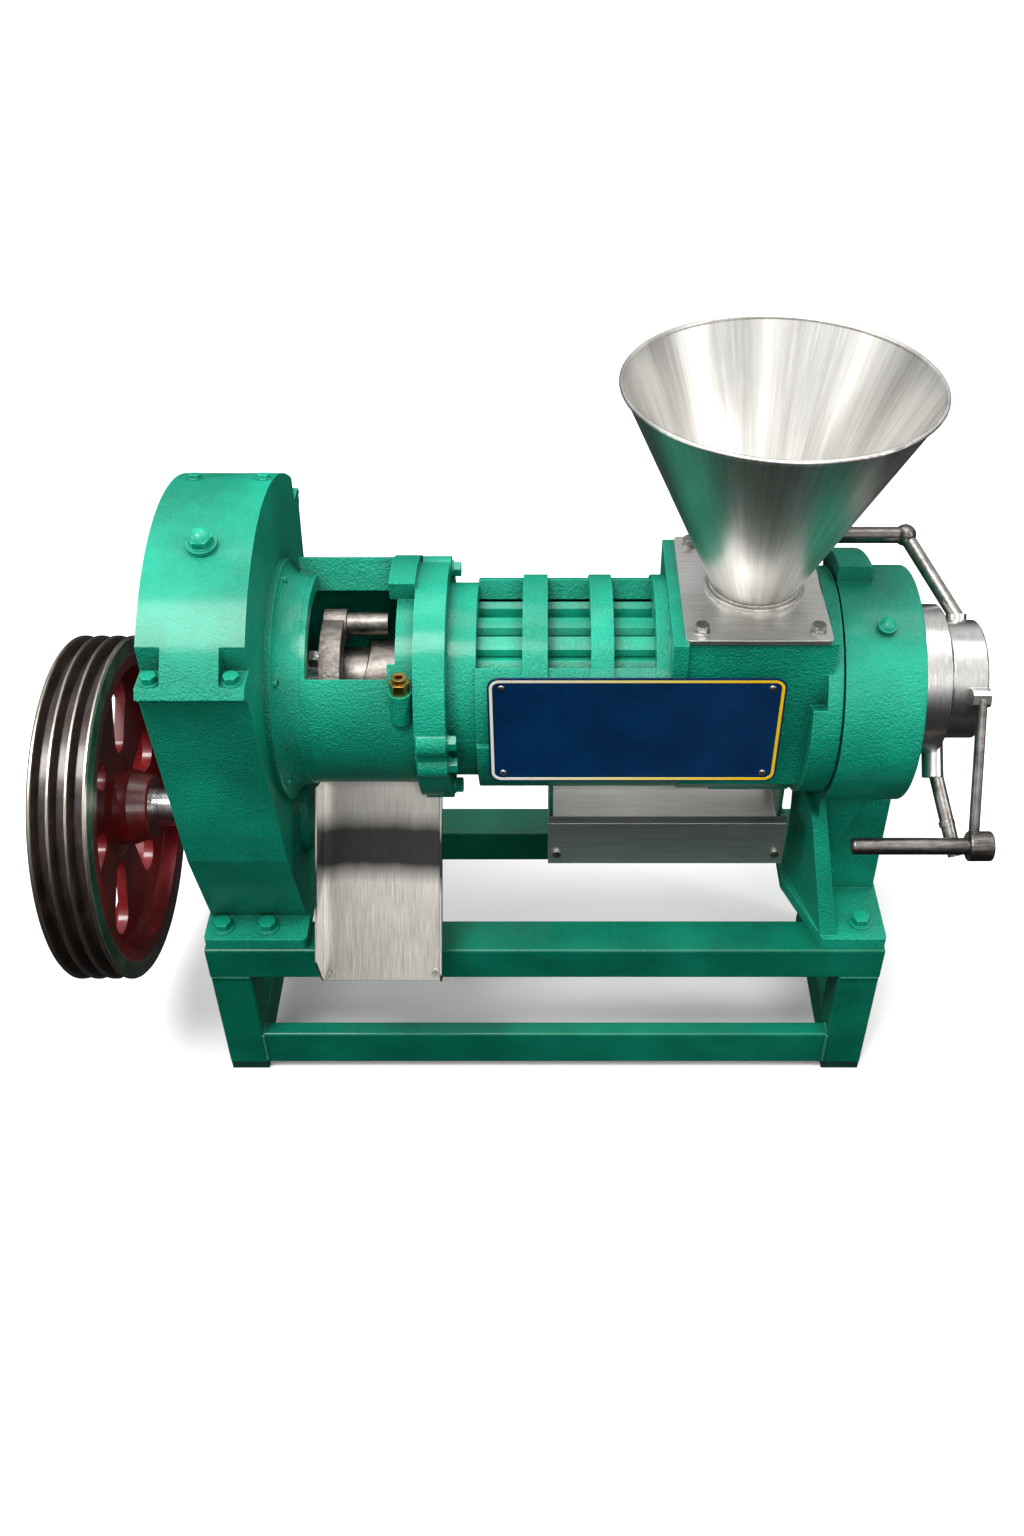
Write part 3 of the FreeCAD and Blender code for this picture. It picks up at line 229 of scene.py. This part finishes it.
G_D, G_M, G_L = srgb(0, 126, 100), srgb(2, 150, 120), srgb(10, 176, 144)
M_CAST = enamel("cast_enamel", G_D, G_M, G_L, speckle=0.95, rough=0.27, coat=0.25, scale=400)
M_FRAME = enamel("frame_enamel", srgb(0, 86, 66), srgb(0, 104, 80), srgb(4, 124, 96), speckle=0.10, rough=0.30, coat=0.22, scale=180, bevel=0.0020)
M_BOLTG = enamel("bolt_enamel", G_D, G_M, srgb(30, 185, 150), speckle=0.25, rough=0.28, coat=0.2, scale=300, bevel=0.0010)
M_WELDG = enamel("weld_enamel", srgb(0, 80, 62), srgb(0, 104, 80), srgb(6, 130, 100), speckle=0.3, rough=0.3, coat=0.2, scale=260, bevel=0.0)


def metal(name, dark, light, rough=0.25, rvar=0.12, brush=(1, 1, 1), bscale=200, bstr=0.12, blotch=8.0, stain=None, stain_amt=0.0,
          bevel=0.0009, aniso=0.0, pits=0.0):
    m, nt, p = new_mat(name)
    v = coords(nt)
    bv = coords(nt, brush)
    lines = noise(nt, bv, bscale, 3.0, 0.7)
    blob = noise(nt, v, blotch, 3.0, 0.6)
    c = ramp(nt, math_(nt, "ADD", math_(nt, "MULTIPLY", lines, 0.55), math_(nt, "MULTIPLY", blob, 0.45)), [(0.34, dark), (0.64, light)])
    if stain is not None:
        s = noise(nt, v, 46.0, 5.0, 0.72, 0.4)
        sm = ramp(nt, s, [(0.48, 0.0), (0.70, 1.0)])
        c = mix(nt, math_(nt, "MULTIPLY", sm, stain_amt), c, stain)
    em = edge_mask(nt, bevel * 1.3)
    c = mix(nt, math_(nt, "MULTIPLY", em, 0.5), c, [min(1.0, x * 1.35 + 0.05) for x in light])
    nt.links.new(c, p.inputs["Base Color"])
    p.inputs["Metallic"].default_value = 1.0
    nt.links.new(math_(nt, "ADD", rough, math_(nt, "MULTIPLY", lines, rvar)), p.inputs["Roughness"])
    if aniso:
        p.inputs["Anisotropic"].default_value = aniso
    h = [(lines, bstr, 0.0004)]
    if pits:
        h.append((noise(nt, v, 240.0, 4.0, 0.65), pits, 0.0012))
    bump_chain(nt, p, h, bevel)
    return m


M_TURNED = metal("turned_steel", srgb(196, 194, 190), srgb(246, 245, 243), 0.17, 0.14, (30, 1, 1), 70, 0.22)
M_DARK = metal("dark_steel", srgb(74, 68, 64), srgb(142, 136, 130), 0.30, 0.22, (1, 1, 1), 90, 0.3, stain=srgb(56, 42, 36), stain_amt=0.6, pits=0.35)
M_ARM = metal("arm_steel", srgb(104, 100, 98), srgb(186, 182, 178), 0.22, 0.22, (1, 1, 1), 60, 0.35, stain=srgb(70, 60, 54), stain_amt=0.55, pits=0.3)
M_BOLT = metal("bolt_steel", srgb(120, 118, 114), srgb(205, 203, 198), 0.20, 0.2, (1, 1, 1), 220, 0.2, stain=srgb(90, 84, 76), stain_amt=0.4, bevel=0.0007)
M_SHEET = metal("brushed_sheet", srgb(214, 212, 208), srgb(250, 249, 247), 0.34, 0.16, (0.25, 14, 14), 60, 0.08, blotch=5.0)
M_PLATE = metal("plate_sheet", srgb(212, 210, 206), srgb(250, 249, 247), 0.30, 0.16, (0.4, 10, 10), 70, 0.08, blotch=9.0)
M_CHUTE = metal("chute_sheet", srgb(168, 163, 155), srgb(222, 218, 210), 0.26, 0.14, (40, 1.2, 1.2), 28, 0.08, blotch=4.0)
M_CASTG = metal("grey_cast", srgb(96, 90, 86), srgb(160, 152, 146), 0.42, 0.2, (1, 1, 1), 120, 0.5, stain=srgb(70, 58, 52), stain_amt=0.6, pits=0.8)
M_BRASS = metal("brass_body", srgb(150, 112, 48), srgb(214, 176, 92), 0.22, 0.2, (1, 1, 1), 160, 0.2, stain=srgb(96, 70, 34), stain_amt=0.4, bevel=0.0006)
M_BEAR = metal("bearing_ground", srgb(170, 170, 170), srgb(226, 226, 226), 0.12, 0.1, (40, 1, 1), 60, 0.1)


def hopper_mat():
    m, nt, p = new_mat("hopper_stainless")
    tc = nt.nodes.new("ShaderNodeTexCoord")
    # brushed lines run up the cone: noise over the angle round the hopper's own axis
    sub = nt.nodes.new("ShaderNodeVectorMath")
    sub.operation = "SUBTRACT"
    sub.inputs[1].default_value = (X(220), 0, 0.4)
    nt.links.new(tc.outputs["Object"], sub.inputs[0])
    sep = nt.nodes.new("ShaderNodeSeparateXYZ")
    nt.links.new(sub.outputs[0], sep.inputs[0])
    at = math_(nt, "ARCTAN2", sep.outputs[1], sep.outputs[0])
    comb = nt.nodes.new("ShaderNodeCombineXYZ")
    nt.links.new(math_(nt, "COSINE", at), comb.inputs[0])
    nt.links.new(math_(nt, "SINE", at), comb.inputs[1])
    nt.links.new(math_(nt, "MULTIPLY", sep.outputs[2], 0.35), comb.inputs[2])
    lines = noise(nt, comb.outputs[0], 36.0, 4.0, 0.7)
    wide = noise(nt, comb.outputs[0], 3.2, 3.0, 0.6)
    v = coords(nt)
    cloud = noise(nt, v, 14.0, 4.0, 0.6)
    f = math_(nt, "ADD", math_(nt, "MULTIPLY", lines, 0.35), math_(nt, "MULTIPLY", wide, 0.65))
    c = ramp(nt, f, [(0.30, srgb(168, 166, 162)), (0.50, srgb(206, 204, 200)), (0.66, srgb(240, 239, 236))])
    c = mix(nt, math_(nt, "MULTIPLY", cloud, 0.18), c, srgb(150, 146, 138))
    nt.links.new(c, p.inputs["Base Color"])
    p.inputs["Metallic"].default_value = 1.0
    nt.links.new(math_(nt, "ADD", 0.34, math_(nt, "MULTIPLY", lines, 0.12)), p.inputs["Roughness"])
    bump_chain(nt, p, [(lines, 0.05, 0.0004)], 0.0)
    return m


def chute_mat():
    m, nt, p = new_mat("chute_stainless")
    v = coords(nt)
    lines = noise(nt, coords(nt, (46, 1.4, 1.4)), 24.0, 3.0, 0.65)
    blob = noise(nt, v, 5.0, 3.0, 0.5)
    c = ramp(nt, math_(nt, "ADD", math_(nt, "MULTIPLY", lines, 0.5), math_(nt, "MULTIPLY", blob, 0.5)), [(0.34, srgb(176, 171, 164)), (0.64, srgb(224, 220, 213))])
    # A near-black band painted across the chute between about 0.32 and 0.38 m height, fading out above: painted shade.
    sep = nt.nodes.new("ShaderNodeSeparateXYZ")
    nt.links.new(v, sep.inputs[0])
    z = math_(nt, "ADD", sep.outputs[2], math_(nt, "MULTIPLY", noise(nt, coords(nt, (8, 1, 1)), 3.0, 3.0), 0.010))
    painted_shade_band = ramp(nt, math_(nt, "MULTIPLY", math_(nt, "SUBTRACT", z, 0.29), 8.0, clamp=True),
                [(0.22, 0.0), (0.36, 0.96), (0.58, 0.96), (0.72, 0.30), (0.88, 0.08)])
    c = mix(nt, painted_shade_band, c, srgb(34, 35, 34))
    nt.links.new(c, p.inputs["Base Color"])
    p.inputs["Metallic"].default_value = 1.0
    nt.links.new(math_(nt, "ADD", 0.24, math_(nt, "MULTIPLY", lines, 0.14)), p.inputs["Roughness"])
    bump_chain(nt, p, [(lines, 0.07, 0.0004)], 0.0008)
    return m


M_HOP = hopper_mat()
M_CHUTE = chute_mat()


def pulley_mat():
    m, nt, p = new_mat("pulley_surface")
    tc = nt.nodes.new("ShaderNodeTexCoord")
    sub = nt.nodes.new("ShaderNodeVectorMath")
    sub.operation = "SUBTRACT"
    sub.inputs[1].default_value = (0, 0, ZI)
    nt.links.new(tc.outputs["Object"], sub.inputs[0])
    sep = nt.nodes.new("ShaderNodeSeparateXYZ")
    nt.links.new(sub.outputs[0], sep.inputs[0])
    r2 = math_(nt, "ADD", math_(nt, "POWER", sep.outputs[1], 2.0), math_(nt, "POWER", sep.outputs[2], 2.0))
    r = math_(nt, "SQRT", r2)
    v = coords(nt)
    turned = noise(nt, coords(nt, (46, 1, 1)), 30, 3.0, 0.7)
    blot = noise(nt, v, 12.0, 4.0, 0.6)
    streak = noise(nt, coords(nt, (6, 3, 3)), 12.0, 3.0, 0.6)
    red = ramp(nt, blot, [(0.30, srgb(70, 8, 12)), (0.52, srgb(116, 14, 20)), (0.74, srgb(150, 30, 34))])
    speck = ramp(nt, noise(nt, v, 420.0, 2.0, 0.5), [(0.50, 0.0), (0.66, 1.0)])
    red = mix(nt, math_(nt, "MULTIPLY", speck, 0.25), red, srgb(186, 60, 60))
    steel = ramp(nt, turned, [(0.30, srgb(140, 131, 120)), (0.66, srgb(206, 197, 184))])
    groove = ramp(nt, streak, [(0.30, srgb(38, 30, 28)), (0.60, srgb(66, 54, 50)), (0.80, srgb(96, 82, 76))])
    g = nt.nodes.new("ShaderNodeNewGeometry")
    # ridge tops: outside 199.2 mm; grooves: 178..199.2; web: inside 178
    top = nt.nodes.new("ShaderNodeMapRange")
    top.inputs["From Min"].default_value = 0.1975
    top.inputs["From Max"].default_value = 0.1987
    nt.links.new(r, top.inputs["Value"])
    rim = nt.nodes.new("ShaderNodeMapRange")
    rim.inputs["From Min"].default_value = 0.1795
    rim.inputs["From Max"].default_value = 0.1810
    nt.links.new(r, rim.inputs["Value"])
    ax = nt.nodes.new("ShaderNodeMath")
    ax.operation = "ABSOLUTE"
    nsep = nt.nodes.new("ShaderNodeSeparateXYZ")
    nt.links.new(g.outputs["True Normal"], nsep.inputs[0])
    nt.links.new(nsep.outputs[0], ax.inputs[0])
    side = nt.nodes.new("ShaderNodeMapRange")
    side.inputs["From Min"].default_value = 0.96
    side.inputs["From Max"].default_value = 0.985
    nt.links.new(ax.outputs[0], side.inputs["Value"])
    gmask = mix(nt, side.outputs[0], groove, steel)       # the rim's two turned faces are bright
    rimc = mix(nt, top.outputs[0], gmask, steel)
    c = mix(nt, rim.outputs[0], red, rimc)
    nt.links.new(c, p.inputs["Base Color"])
    metal_f = math_(nt, "MULTIPLY", rim.outputs[0], math_(nt, "MAXIMUM", math_(nt, "MAXIMUM", top.outputs[0], side.outputs[0]), 0.35))
    nt.links.new(metal_f, p.inputs["Metallic"])
    nt.links.new(math_(nt, "ADD", 0.22, math_(nt, "MULTIPLY", turned, 0.22)), p.inputs["Roughness"])
    p.inputs["Coat Weight"].default_value = 0.35
    p.inputs["Coat Roughness"].default_value = 0.14
    bump_chain(nt, p, [(turned, 0.10, 0.0006), (noise(nt, v, 55.0, 3.0, 0.5), 0.16, 0.003)], 0.0012)
    return m


M_PUL = pulley_mat()


def plain(name, a, b, rough, scale=40.0, coat=0.0, bump=0.1, bscale=300.0, bevel=0.001):
    m, nt, p = new_mat(name)
    v = coords(nt)
    n1 = noise(nt, v, scale, 4.0, 0.6)
    nt.links.new(ramp(nt, n1, [(0.35, a), (0.68, b)]), p.inputs["Base Color"])
    nt.links.new(math_(nt, "ADD", rough, math_(nt, "MULTIPLY", n1, 0.15)), p.inputs["Roughness"])
    if coat:
        p.inputs["Coat Weight"].default_value = coat
        p.inputs["Coat Roughness"].default_value = 0.1
    bump_chain(nt, p, [(noise(nt, v, bscale, 3.0, 0.6), bump, 0.0006)], bevel)
    return m


M_RUB = plain("foot_rubber", srgb(10, 44, 36), srgb(20, 66, 54), 0.5, bump=0.3)
M_SEAL = plain("seal_rubber", srgb(18, 18, 18), srgb(34, 33, 32), 0.55)
M_GRIP = metal("grip_steel", srgb(60, 56, 54), srgb(136, 130, 126), 0.24, 0.2, (1, 8, 8), 50, 0.3, stain=srgb(44, 36, 32), stain_amt=0.6, pits=0.3)
M_NAVY = plain("plate_navy", srgb(0, 40, 80), srgb(0, 52, 96), 0.16, 18.0, coat=0.6, bump=0.04, bevel=0.0004)
M_YEL = plain("plate_yellow", srgb(238, 196, 10), srgb(255, 214, 30), 0.22, 30.0, coat=0.4, bump=0.04, bevel=0.0)


def line_mat():
    m, nt, p = new_mat("plate_line")
    v = coords(nt)
    sep = nt.nodes.new("ShaderNodeSeparateXYZ")
    nt.links.new(v, sep.inputs[0])
    mr = nt.nodes.new("ShaderNodeMapRange")
    mr.inputs["From Min"].default_value = X(-40)
    mr.inputs["From Max"].default_value = X(215)
    nt.links.new(sep.outputs[0], mr.inputs["Value"])
    f = math_(nt, "ADD", mr.outputs[0], math_(nt, "MULTIPLY", noise(nt, v, 40.0, 2.0), 0.08))
    nt.links.new(ramp(nt, f, [(0.0, srgb(246, 244, 232)), (0.55, srgb(250, 232, 130)), (1.0, srgb(255, 208, 20))]), p.inputs["Base Color"])
    nt.links.new(math_(nt, "ADD", 0.2, math_(nt, "MULTIPLY", noise(nt, v, 90.0, 2.0), 0.15)), p.inputs["Roughness"])
    p.inputs["Coat Weight"].default_value = 0.4
    p.inputs["Coat Roughness"].default_value = 0.1
    return m


M_LINE = line_mat()
M_WHI = plain("plate_white", srgb(228, 228, 222), srgb(246, 246, 240), 0.22, 30.0, coat=0.4, bump=0.04, bevel=0.0)

MATS = {}
for n in "gearbox_housing gearbox_cover input_cap blind_caps press_body cage_upper cage_lower feed_body thrust_housing".split():
    MATS[n] = M_CAST
for n in "cage_bars bar_seats".split():
    MATS[n] = M_BOLTG
for n in "top_rails legs lower_rails sheet_brackets".split():
    MATS[n] = M_FRAME
for n in "cover_bolts flange_bolts foot_bolts vent_plug housing_plug cage_bolts".split():
    MATS[n] = M_BOLTG
for n in "hopper_bolts chamber_bolts cap_screws sheet_screws pulley_nut".split():
    MATS[n] = M_BOLT
for n in "input_shaft adjusting_sleeve adjusting_nut lock_ring press_shaft bearing_cup pulley_key gear_key".split():
    MATS[n] = M_TURNED
for n in "input_pinion layshaft layshaft_wheel output_gear worm_segments choke_cone cake_breaker cake_ring scraper_rod".split():
    MATS[n] = M_DARK
for n in "handle_arms lock_lever".split():
    MATS[n] = M_ARM
MATS.update(handle_grips=M_GRIP, hopper=M_HOP, hopper_collar=M_HOP, hopper_plate=M_PLATE, cake_chute=M_CHUTE, oil_tray=M_SHEET,
            pulley=M_PUL, brass_fitting=M_BRASS, shaft_seal=M_SEAL, gearbox_bearings=M_BEAR, thrust_bearing=M_BEAR,
            scraper_bracket=M_CASTG, foot_pads=M_RUB, nameplate=M_NAVY)
for n, o in N.items():
    o.data.materials.clear()
    o.data.materials.append(MATS.get(n, M_CAST))

SMOOTH = "pulley hopper hopper_collar gearbox_cover press_body cage_upper cage_lower thrust_housing lock_ring adjusting_sleeve handle_arms handle_grips lock_lever input_shaft press_shaft vent_plug housing_plug scraper_rod scraper_bracket cage_bars worm_segments choke_cone cake_breaker feed_body brass_fitting adjusting_nut input_cap blind_caps cover_bolts flange_bolts foot_bolts cage_bolts hopper_bolts sheet_screws gearbox_housing nameplate pulley_nut chamber_bolts".split()
for n in SMOOTH:
    o = N[n]
    o.data.polygons.foreach_set("use_smooth", [True] * len(o.data.polygons))
    o.data.set_sharp_from_angle(angle=math.radians(28))


# ------------------------------------------------------------------ pieces
def add_mesh(name, bm, mat, body, smooth=True):
    me = bpy.data.meshes.new(name)
    bm.to_mesh(me)
    bm.free()
    o = bpy.data.objects.new(name, me)
    bpy.context.scene.collection.objects.link(o)
    me.materials.append(mat)
    if smooth:
        me.polygons.foreach_set("use_smooth", [True] * len(me.polygons))
        me.set_sharp_from_angle(angle=math.radians(40))
    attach(o, body)
    return o


def weld_into(bm, pts, r, rnd, step=None):
    """A run of overlapping flattened drops along a polyline: a hand-laid weld bead."""
    step = step or r * 0.62
    for a, b in zip(pts[:-1], pts[1:]):
        a, b = Vector(a), Vector(b)
        L = (b - a).length
        n = max(2, int(L / step))
        d = (b - a).normalized()
        rot = d.to_track_quat("X", "Z").to_matrix().to_4x4()
        for k in range(n + 1):
            c = a.lerp(b, k / n)
            s = r * rnd.uniform(0.88, 1.08)
            mtx = Matrix.Translation(c) @ rot @ Matrix.Diagonal((s * 0.62, s, s, 1))
            bmesh.ops.create_uvsphere(bm, u_segments=10, v_segments=6, radius=1.0, matrix=mtx)


def weld(name, runs, r, body="root", seed=1):
    rnd = random.Random(seed)
    bm = bmesh.new()
    for pts in runs:
        weld_into(bm, pts, r, rnd)
    return add_mesh(name, bm, M_WELDG, body)


def arc_pts(x, r, a0, a1, n, cz=ZA, cy=0.0):
    """Points round an x axis: angle 0 is the front, 90 the top."""
    out = []
    for k in range(n + 1):
        t = math.radians(a0 + (a1 - a0) * k / n)
        out.append((x, cy - r * math.cos(t), cz + r * math.sin(t)))
    return out


def cove(bm, x, r, h, side, a0=0, a1=360, n=96, cz=ZA):
    """Cast fillet where a cylinder of radius r meets a flange face at x; side is +1 when the fillet grows towards +X."""
    prof = [(0.0, h), (0.0, 0.0), (h, 0.0)]
    arc = [(h - h * math.cos(t), h - h * math.sin(t)) for t in [math.pi / 2 * k / 5 for k in range(6)]]
    pr = [(-0.0006, -0.0006)] + [(-0.0006, h)] + arc + [(h, -0.0006)]
    pr = [(-0.0006, -0.0006), (-0.0006, h)] + [(h - h * math.cos(math.pi / 2 * k / 5), h - h * math.sin(math.pi / 2 * k / 5)) for k in range(6)] + [(h, -0.0006)]
    full = abs((a1 - a0) - 360) < 1e-6
    rings = []
    for k in range(n if full else n + 1):
        t = math.radians(a0 + (a1 - a0) * k / n)
        rings.append([bm.verts.new((x + side * u, -(r + w) * math.cos(t), cz + (r + w) * math.sin(t))) for u, w in pr])
    m = len(pr)
    cnt = n if full else n
    for k in range(cnt):
        p, q = rings[k], rings[(k + 1) % len(rings)]
        for i in range(m):
            j = (i + 1) % m
            try:
                bm.faces.new((p[i], q[i], q[j], p[j]))
            except ValueError:
                pass
    if not full:
        bm.faces.new(rings[0])
        bm.faces.new(list(reversed(rings[-1])))


# nameplate border: an outer navy rim and an inner line that grades from pale to yellow along the plate, both thin and
# raised on the navy plate
def rrect(x0, x1, z0, z1, r, n=8):
    pts = []
    for cx, cz, a0 in ((x1 - r, z1 - r, 0), (x0 + r, z1 - r, 90), (x0 + r, z0 + r, 180), (x1 - r, z0 + r, 270)):
        for k in range(n + 1):
            t = math.radians(a0 + 90 * k / n)
            pts.append((cx + r * math.cos(t), cz + r * math.sin(t)))
    return pts


def frame_ring(name, x0, x1, z0, z1, r, w, y0, y1, mat):
    bm = bmesh.new()
    o = rrect(x0, x1, z0, z1, r)
    i = rrect(x0 + w, x1 - w, z0 + w, z1 - w, max(r - w, 0.001))
    loops = []
    for y, pts in ((y0, o), (y1, o), (y1, i), (y0, i)):
        loops.append([bm.verts.new((a, y, b)) for a, b in pts])
    n = len(o)
    for a in range(4):
        p, q = loops[a], loops[(a + 1) % 4]
        for k in range(n):
            j = (k + 1) % n
            bm.faces.new((p[k], p[j], q[j], q[k]))
    bmesh.ops.recalc_face_normals(bm, faces=bm.faces)
    return add_mesh(name, bm, mat, "root", smooth=False)


nb0, nb1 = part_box("nameplate")
yf = nb0.y
frame_ring("plate_rim", nb0.x, nb1.x, nb0.z, nb1.z, 0.012, 0.0022, yf + 0.0006, yf - 0.0004, M_NAVY)
frame_ring("plate_line", nb0.x + 0.0020, nb1.x - 0.0020, nb0.z + 0.0020, nb1.z - 0.0020, 0.0102, 0.0030, yf + 0.0006, yf - 0.0005, M_LINE)


def lathe(name, prof, origin, axis, mat, body, n=40, closed=True):
    """Revolves (distance along the axis, radius) points about axis through origin."""
    bm = bmesh.new()
    axis = Vector(axis).normalized()
    q = axis.to_track_quat("Z", "Y").to_matrix()
    rings = []
    for d, r in prof:
        rings.append([bm.verts.new(Vector(origin) + q @ Vector((r * math.cos(2 * math.pi * k / n), r * math.sin(2 * math.pi * k / n), d))) for k in range(n)])
    m = len(prof)
    for i in range(m if closed else m - 1):
        a, b = rings[i], rings[(i + 1) % m]
        for k in range(n):
            j = (k + 1) % n
            bm.faces.new((a[k], a[j], b[j], b[k]))
    if not closed:
        bm.faces.new(list(reversed(rings[0])))
        bm.faces.new(rings[-1])
    bmesh.ops.recalc_face_normals(bm, faces=bm.faces)
    return add_mesh(name, bm, mat, body)


# small pan-head screws holding the nameplate
for i, (x, z) in enumerate(((-42, 494), (-42, 604), (226, 494), (226, 604))):
    r = 0.0036
    prof = [(-0.0002, r)] + [(0.0019 * math.sin(t), r * math.cos(t)) for t in [math.pi / 2 * k / 6 for k in range(1, 6)]] + [(0.0019, 0.0004)]
    lathe("plate_screw_%d" % i, prof, (X(x), yf, z / 1000.0), (0, -1, 0), M_BOLT, "root", 20, closed=False)

def ring_pts(cx, z, r, n=72, rz=0.0):
    return [(cx + r * math.cos(2 * math.pi * k / n), r * math.sin(2 * math.pi * k / n), z) for k in range(n + 1)]


rnd = random.Random(11)
bm = bmesh.new()
weld_into(bm, ring_pts(X(216), 0.6452, 0.0502), 0.0016, rnd)
weld_into(bm, ring_pts(X(216), 0.6503, 0.0456), 0.0013, rnd)
add_mesh("neck_weld", bm, M_BOLT, "root")
# lap seam down the back of the hopper, following the cone
bm = bmesh.new()
seam = []
for k in range(25):
    t = k / 24
    z = 0.656 + (0.866 - 0.656) * t
    f = (z - 0.652) / 0.216
    seam.append((X(216 + 6 * f), (0.045 + 0.105 * f) + 0.0004, z))
weld_into(bm, seam, 0.0012, rnd)
add_mesh("hopper_seam", bm, M_BOLT, "root")

# ------------------------------------------------------------------ frame welds
bed = 0.222
y_f, y_i = -0.1225, -0.0745
xl0, xl1 = X(-395), X(-347)
xr0, xr1 = X(348), X(396)
runs = []
for a, b in ((xl0, xl1), (xr0, xr1)):
    for s in (-1, 1):
        # leg tops against the underside of the top rails: front and inner faces
        z = bed - 0.048
        runs.append([(a + 0.003, s * 0.1222, z), (b - 0.003, s * 0.1222, z)])
        inner = b if a < 0 else a
        runs.append([(inner, s * 0.119, z), (inner, s * 0.078, z)])
for s, x in ((1, xl1), (-1, xr0)):
    for z in (0.013 + 0.055,):
        runs.append([(x, -0.1195, z), (x, -0.1055, z)])
    runs.append([(x, -0.1222, 0.018), (x, -0.1222, 0.065)])
weld("frame_welds", runs, 0.0024, seed=3)
# cross rails into the long rails, on top of the bed
runs = []
for x in (xl0, xl1, xr0, xr1):
    pass
for x0, x1 in ((xl0, xl1), (xr0, xr1)):
    for s in (-1, 1):
        runs.append([(x0 + 0.002, s * 0.0745, bed - 0.0002), (x1 - 0.002, s * 0.0745, bed - 0.0002)])
weld("cross_welds", runs, 0.0020, seed=5)

# ------------------------------------------------------------------ camera, floor, light
sc = bpy.context.scene
cam_d = bpy.data.cameras.new("camera")
cam = bpy.data.objects.new("camera", cam_d)
sc.collection.objects.link(cam)
cam.location = ((5.2 + 31.5) / 1000, -1.2127, 1.4526)
cam.rotation_euler = (math.radians(90 - 40.99), 0, 0)
cam_d.sensor_fit = "VERTICAL"
cam_d.sensor_height = 36
cam_d.sensor_width = 24
cam_d.lens = 1404.2 / 1536 * 36
cam_d.shift_x = (512 - 548.9) / 1536
cam_d.shift_y = (766.7 - 768) / 1536
cam_d.clip_end = 100
sc.camera = cam
sc.view_settings.view_transform = "Standard"
sc.view_settings.look = "None"

fm, fnt, fp = new_mat("floor_paper")
fv = coords(fnt)
fnt.links.new(ramp(fnt, noise(fnt, fv, 2.0, 2.0, 0.5), [(0.3, 0.93), (0.7, 0.95)]), fp.inputs["Base Color"])
fp.inputs["Roughness"].default_value = 0.6
bm = bmesh.new()
bmesh.ops.create_grid(bm, x_segments=2, y_segments=2, size=30)
me = bpy.data.meshes.new("floor")
bm.to_mesh(me)
bm.free()
me.materials.append(fm)
floor = bpy.data.objects.new("floor", me)
sc.collection.objects.link(floor)
floor.location = (0, 0, -0.0003)
floor.visible_diffuse = False      # the paper sweep throws no coloured or white bounce up at the machine
floor.visible_glossy = False

w = bpy.data.worlds.new("studio")
sc.world = w
w.use_nodes = True
wn = w.node_tree
wn.nodes.clear()
wo = wn.nodes.new("ShaderNodeOutputWorld")
bg = wn.nodes.new("ShaderNodeBackground")
tc = wn.nodes.new("ShaderNodeTexCoord")
sp = wn.nodes.new("ShaderNodeSeparateXYZ")
wn.links.new(tc.outputs["Generated"], sp.inputs[0])
zz = math_(wn, "ADD", math_(wn, "MULTIPLY", sp.outputs[2], 0.5), 0.5)
up = ramp(wn, zz, [(0.0, 0.03), (0.40, 0.05), (0.49, 0.12), (0.58, 0.34), (0.74, 1.0)])
# soft vertical strips round the horizon, so that polished metal shows bright and dark bands
at = math_(wn, "ARCTAN2", sp.outputs[1], sp.outputs[0])
cmb = wn.nodes.new("ShaderNodeCombineXYZ")
wn.links.new(math_(wn, "COSINE", at), cmb.inputs[0])
wn.links.new(math_(wn, "SINE", at), cmb.inputs[1])
strip = ramp(wn, noise(wn, cmb.outputs[0], 2.3, 1.0, 0.4), [(0.42, 0.30), (0.52, 0.95), (0.60, 1.9)])
wc = mix(wn, 1.0, up, strip, "MULTIPLY")
wn.links.new(wc, bg.inputs[0])
bg.inputs[1].default_value = 0.85
wn.links.new(bg.outputs[0], wo.inputs[0])


def area(name, loc, target, size, energy, colour=(1, 1, 1)):
    d = bpy.data.lights.new(name, "AREA")
    d.shape = "RECTANGLE"
    d.size, d.size_y = size
    d.energy = energy
    d.color = colour
    o = bpy.data.objects.new(name, d)
    sc.collection.objects.link(o)
    o.location = loc
    o.rotation_euler = (Vector(target) - Vector(loc)).to_track_quat("-Z", "Y").to_euler()
    return o


sun_d = bpy.data.lights.new("key_sun", "SUN")
sun_d.energy = 2.9
sun_d.angle = math.radians(24)
sun = bpy.data.objects.new("key_sun", sun_d)
sc.collection.objects.link(sun)
sun.rotation_euler = (-Vector((-0.30, -0.40, 1.3))).to_track_quat("-Z", "Y").to_euler()
area("top", (0.3, 0.5, 2.6), (0, 0, 0.3), (2.2, 0.9), 22)
area("left_strip", (-2.2, -0.9, 1.5), (-0.3, 0, 0.45), (0.35, 1.6), 12)
area("right_strip", (2.3, -0.8, 1.6), (0.3, 0, 0.5), (0.35, 1.6), 14)
area("hopper_strip", (0.35, -2.4, 2.2), (0.25, 0, 0.75), (0.25, 1.2), 10)
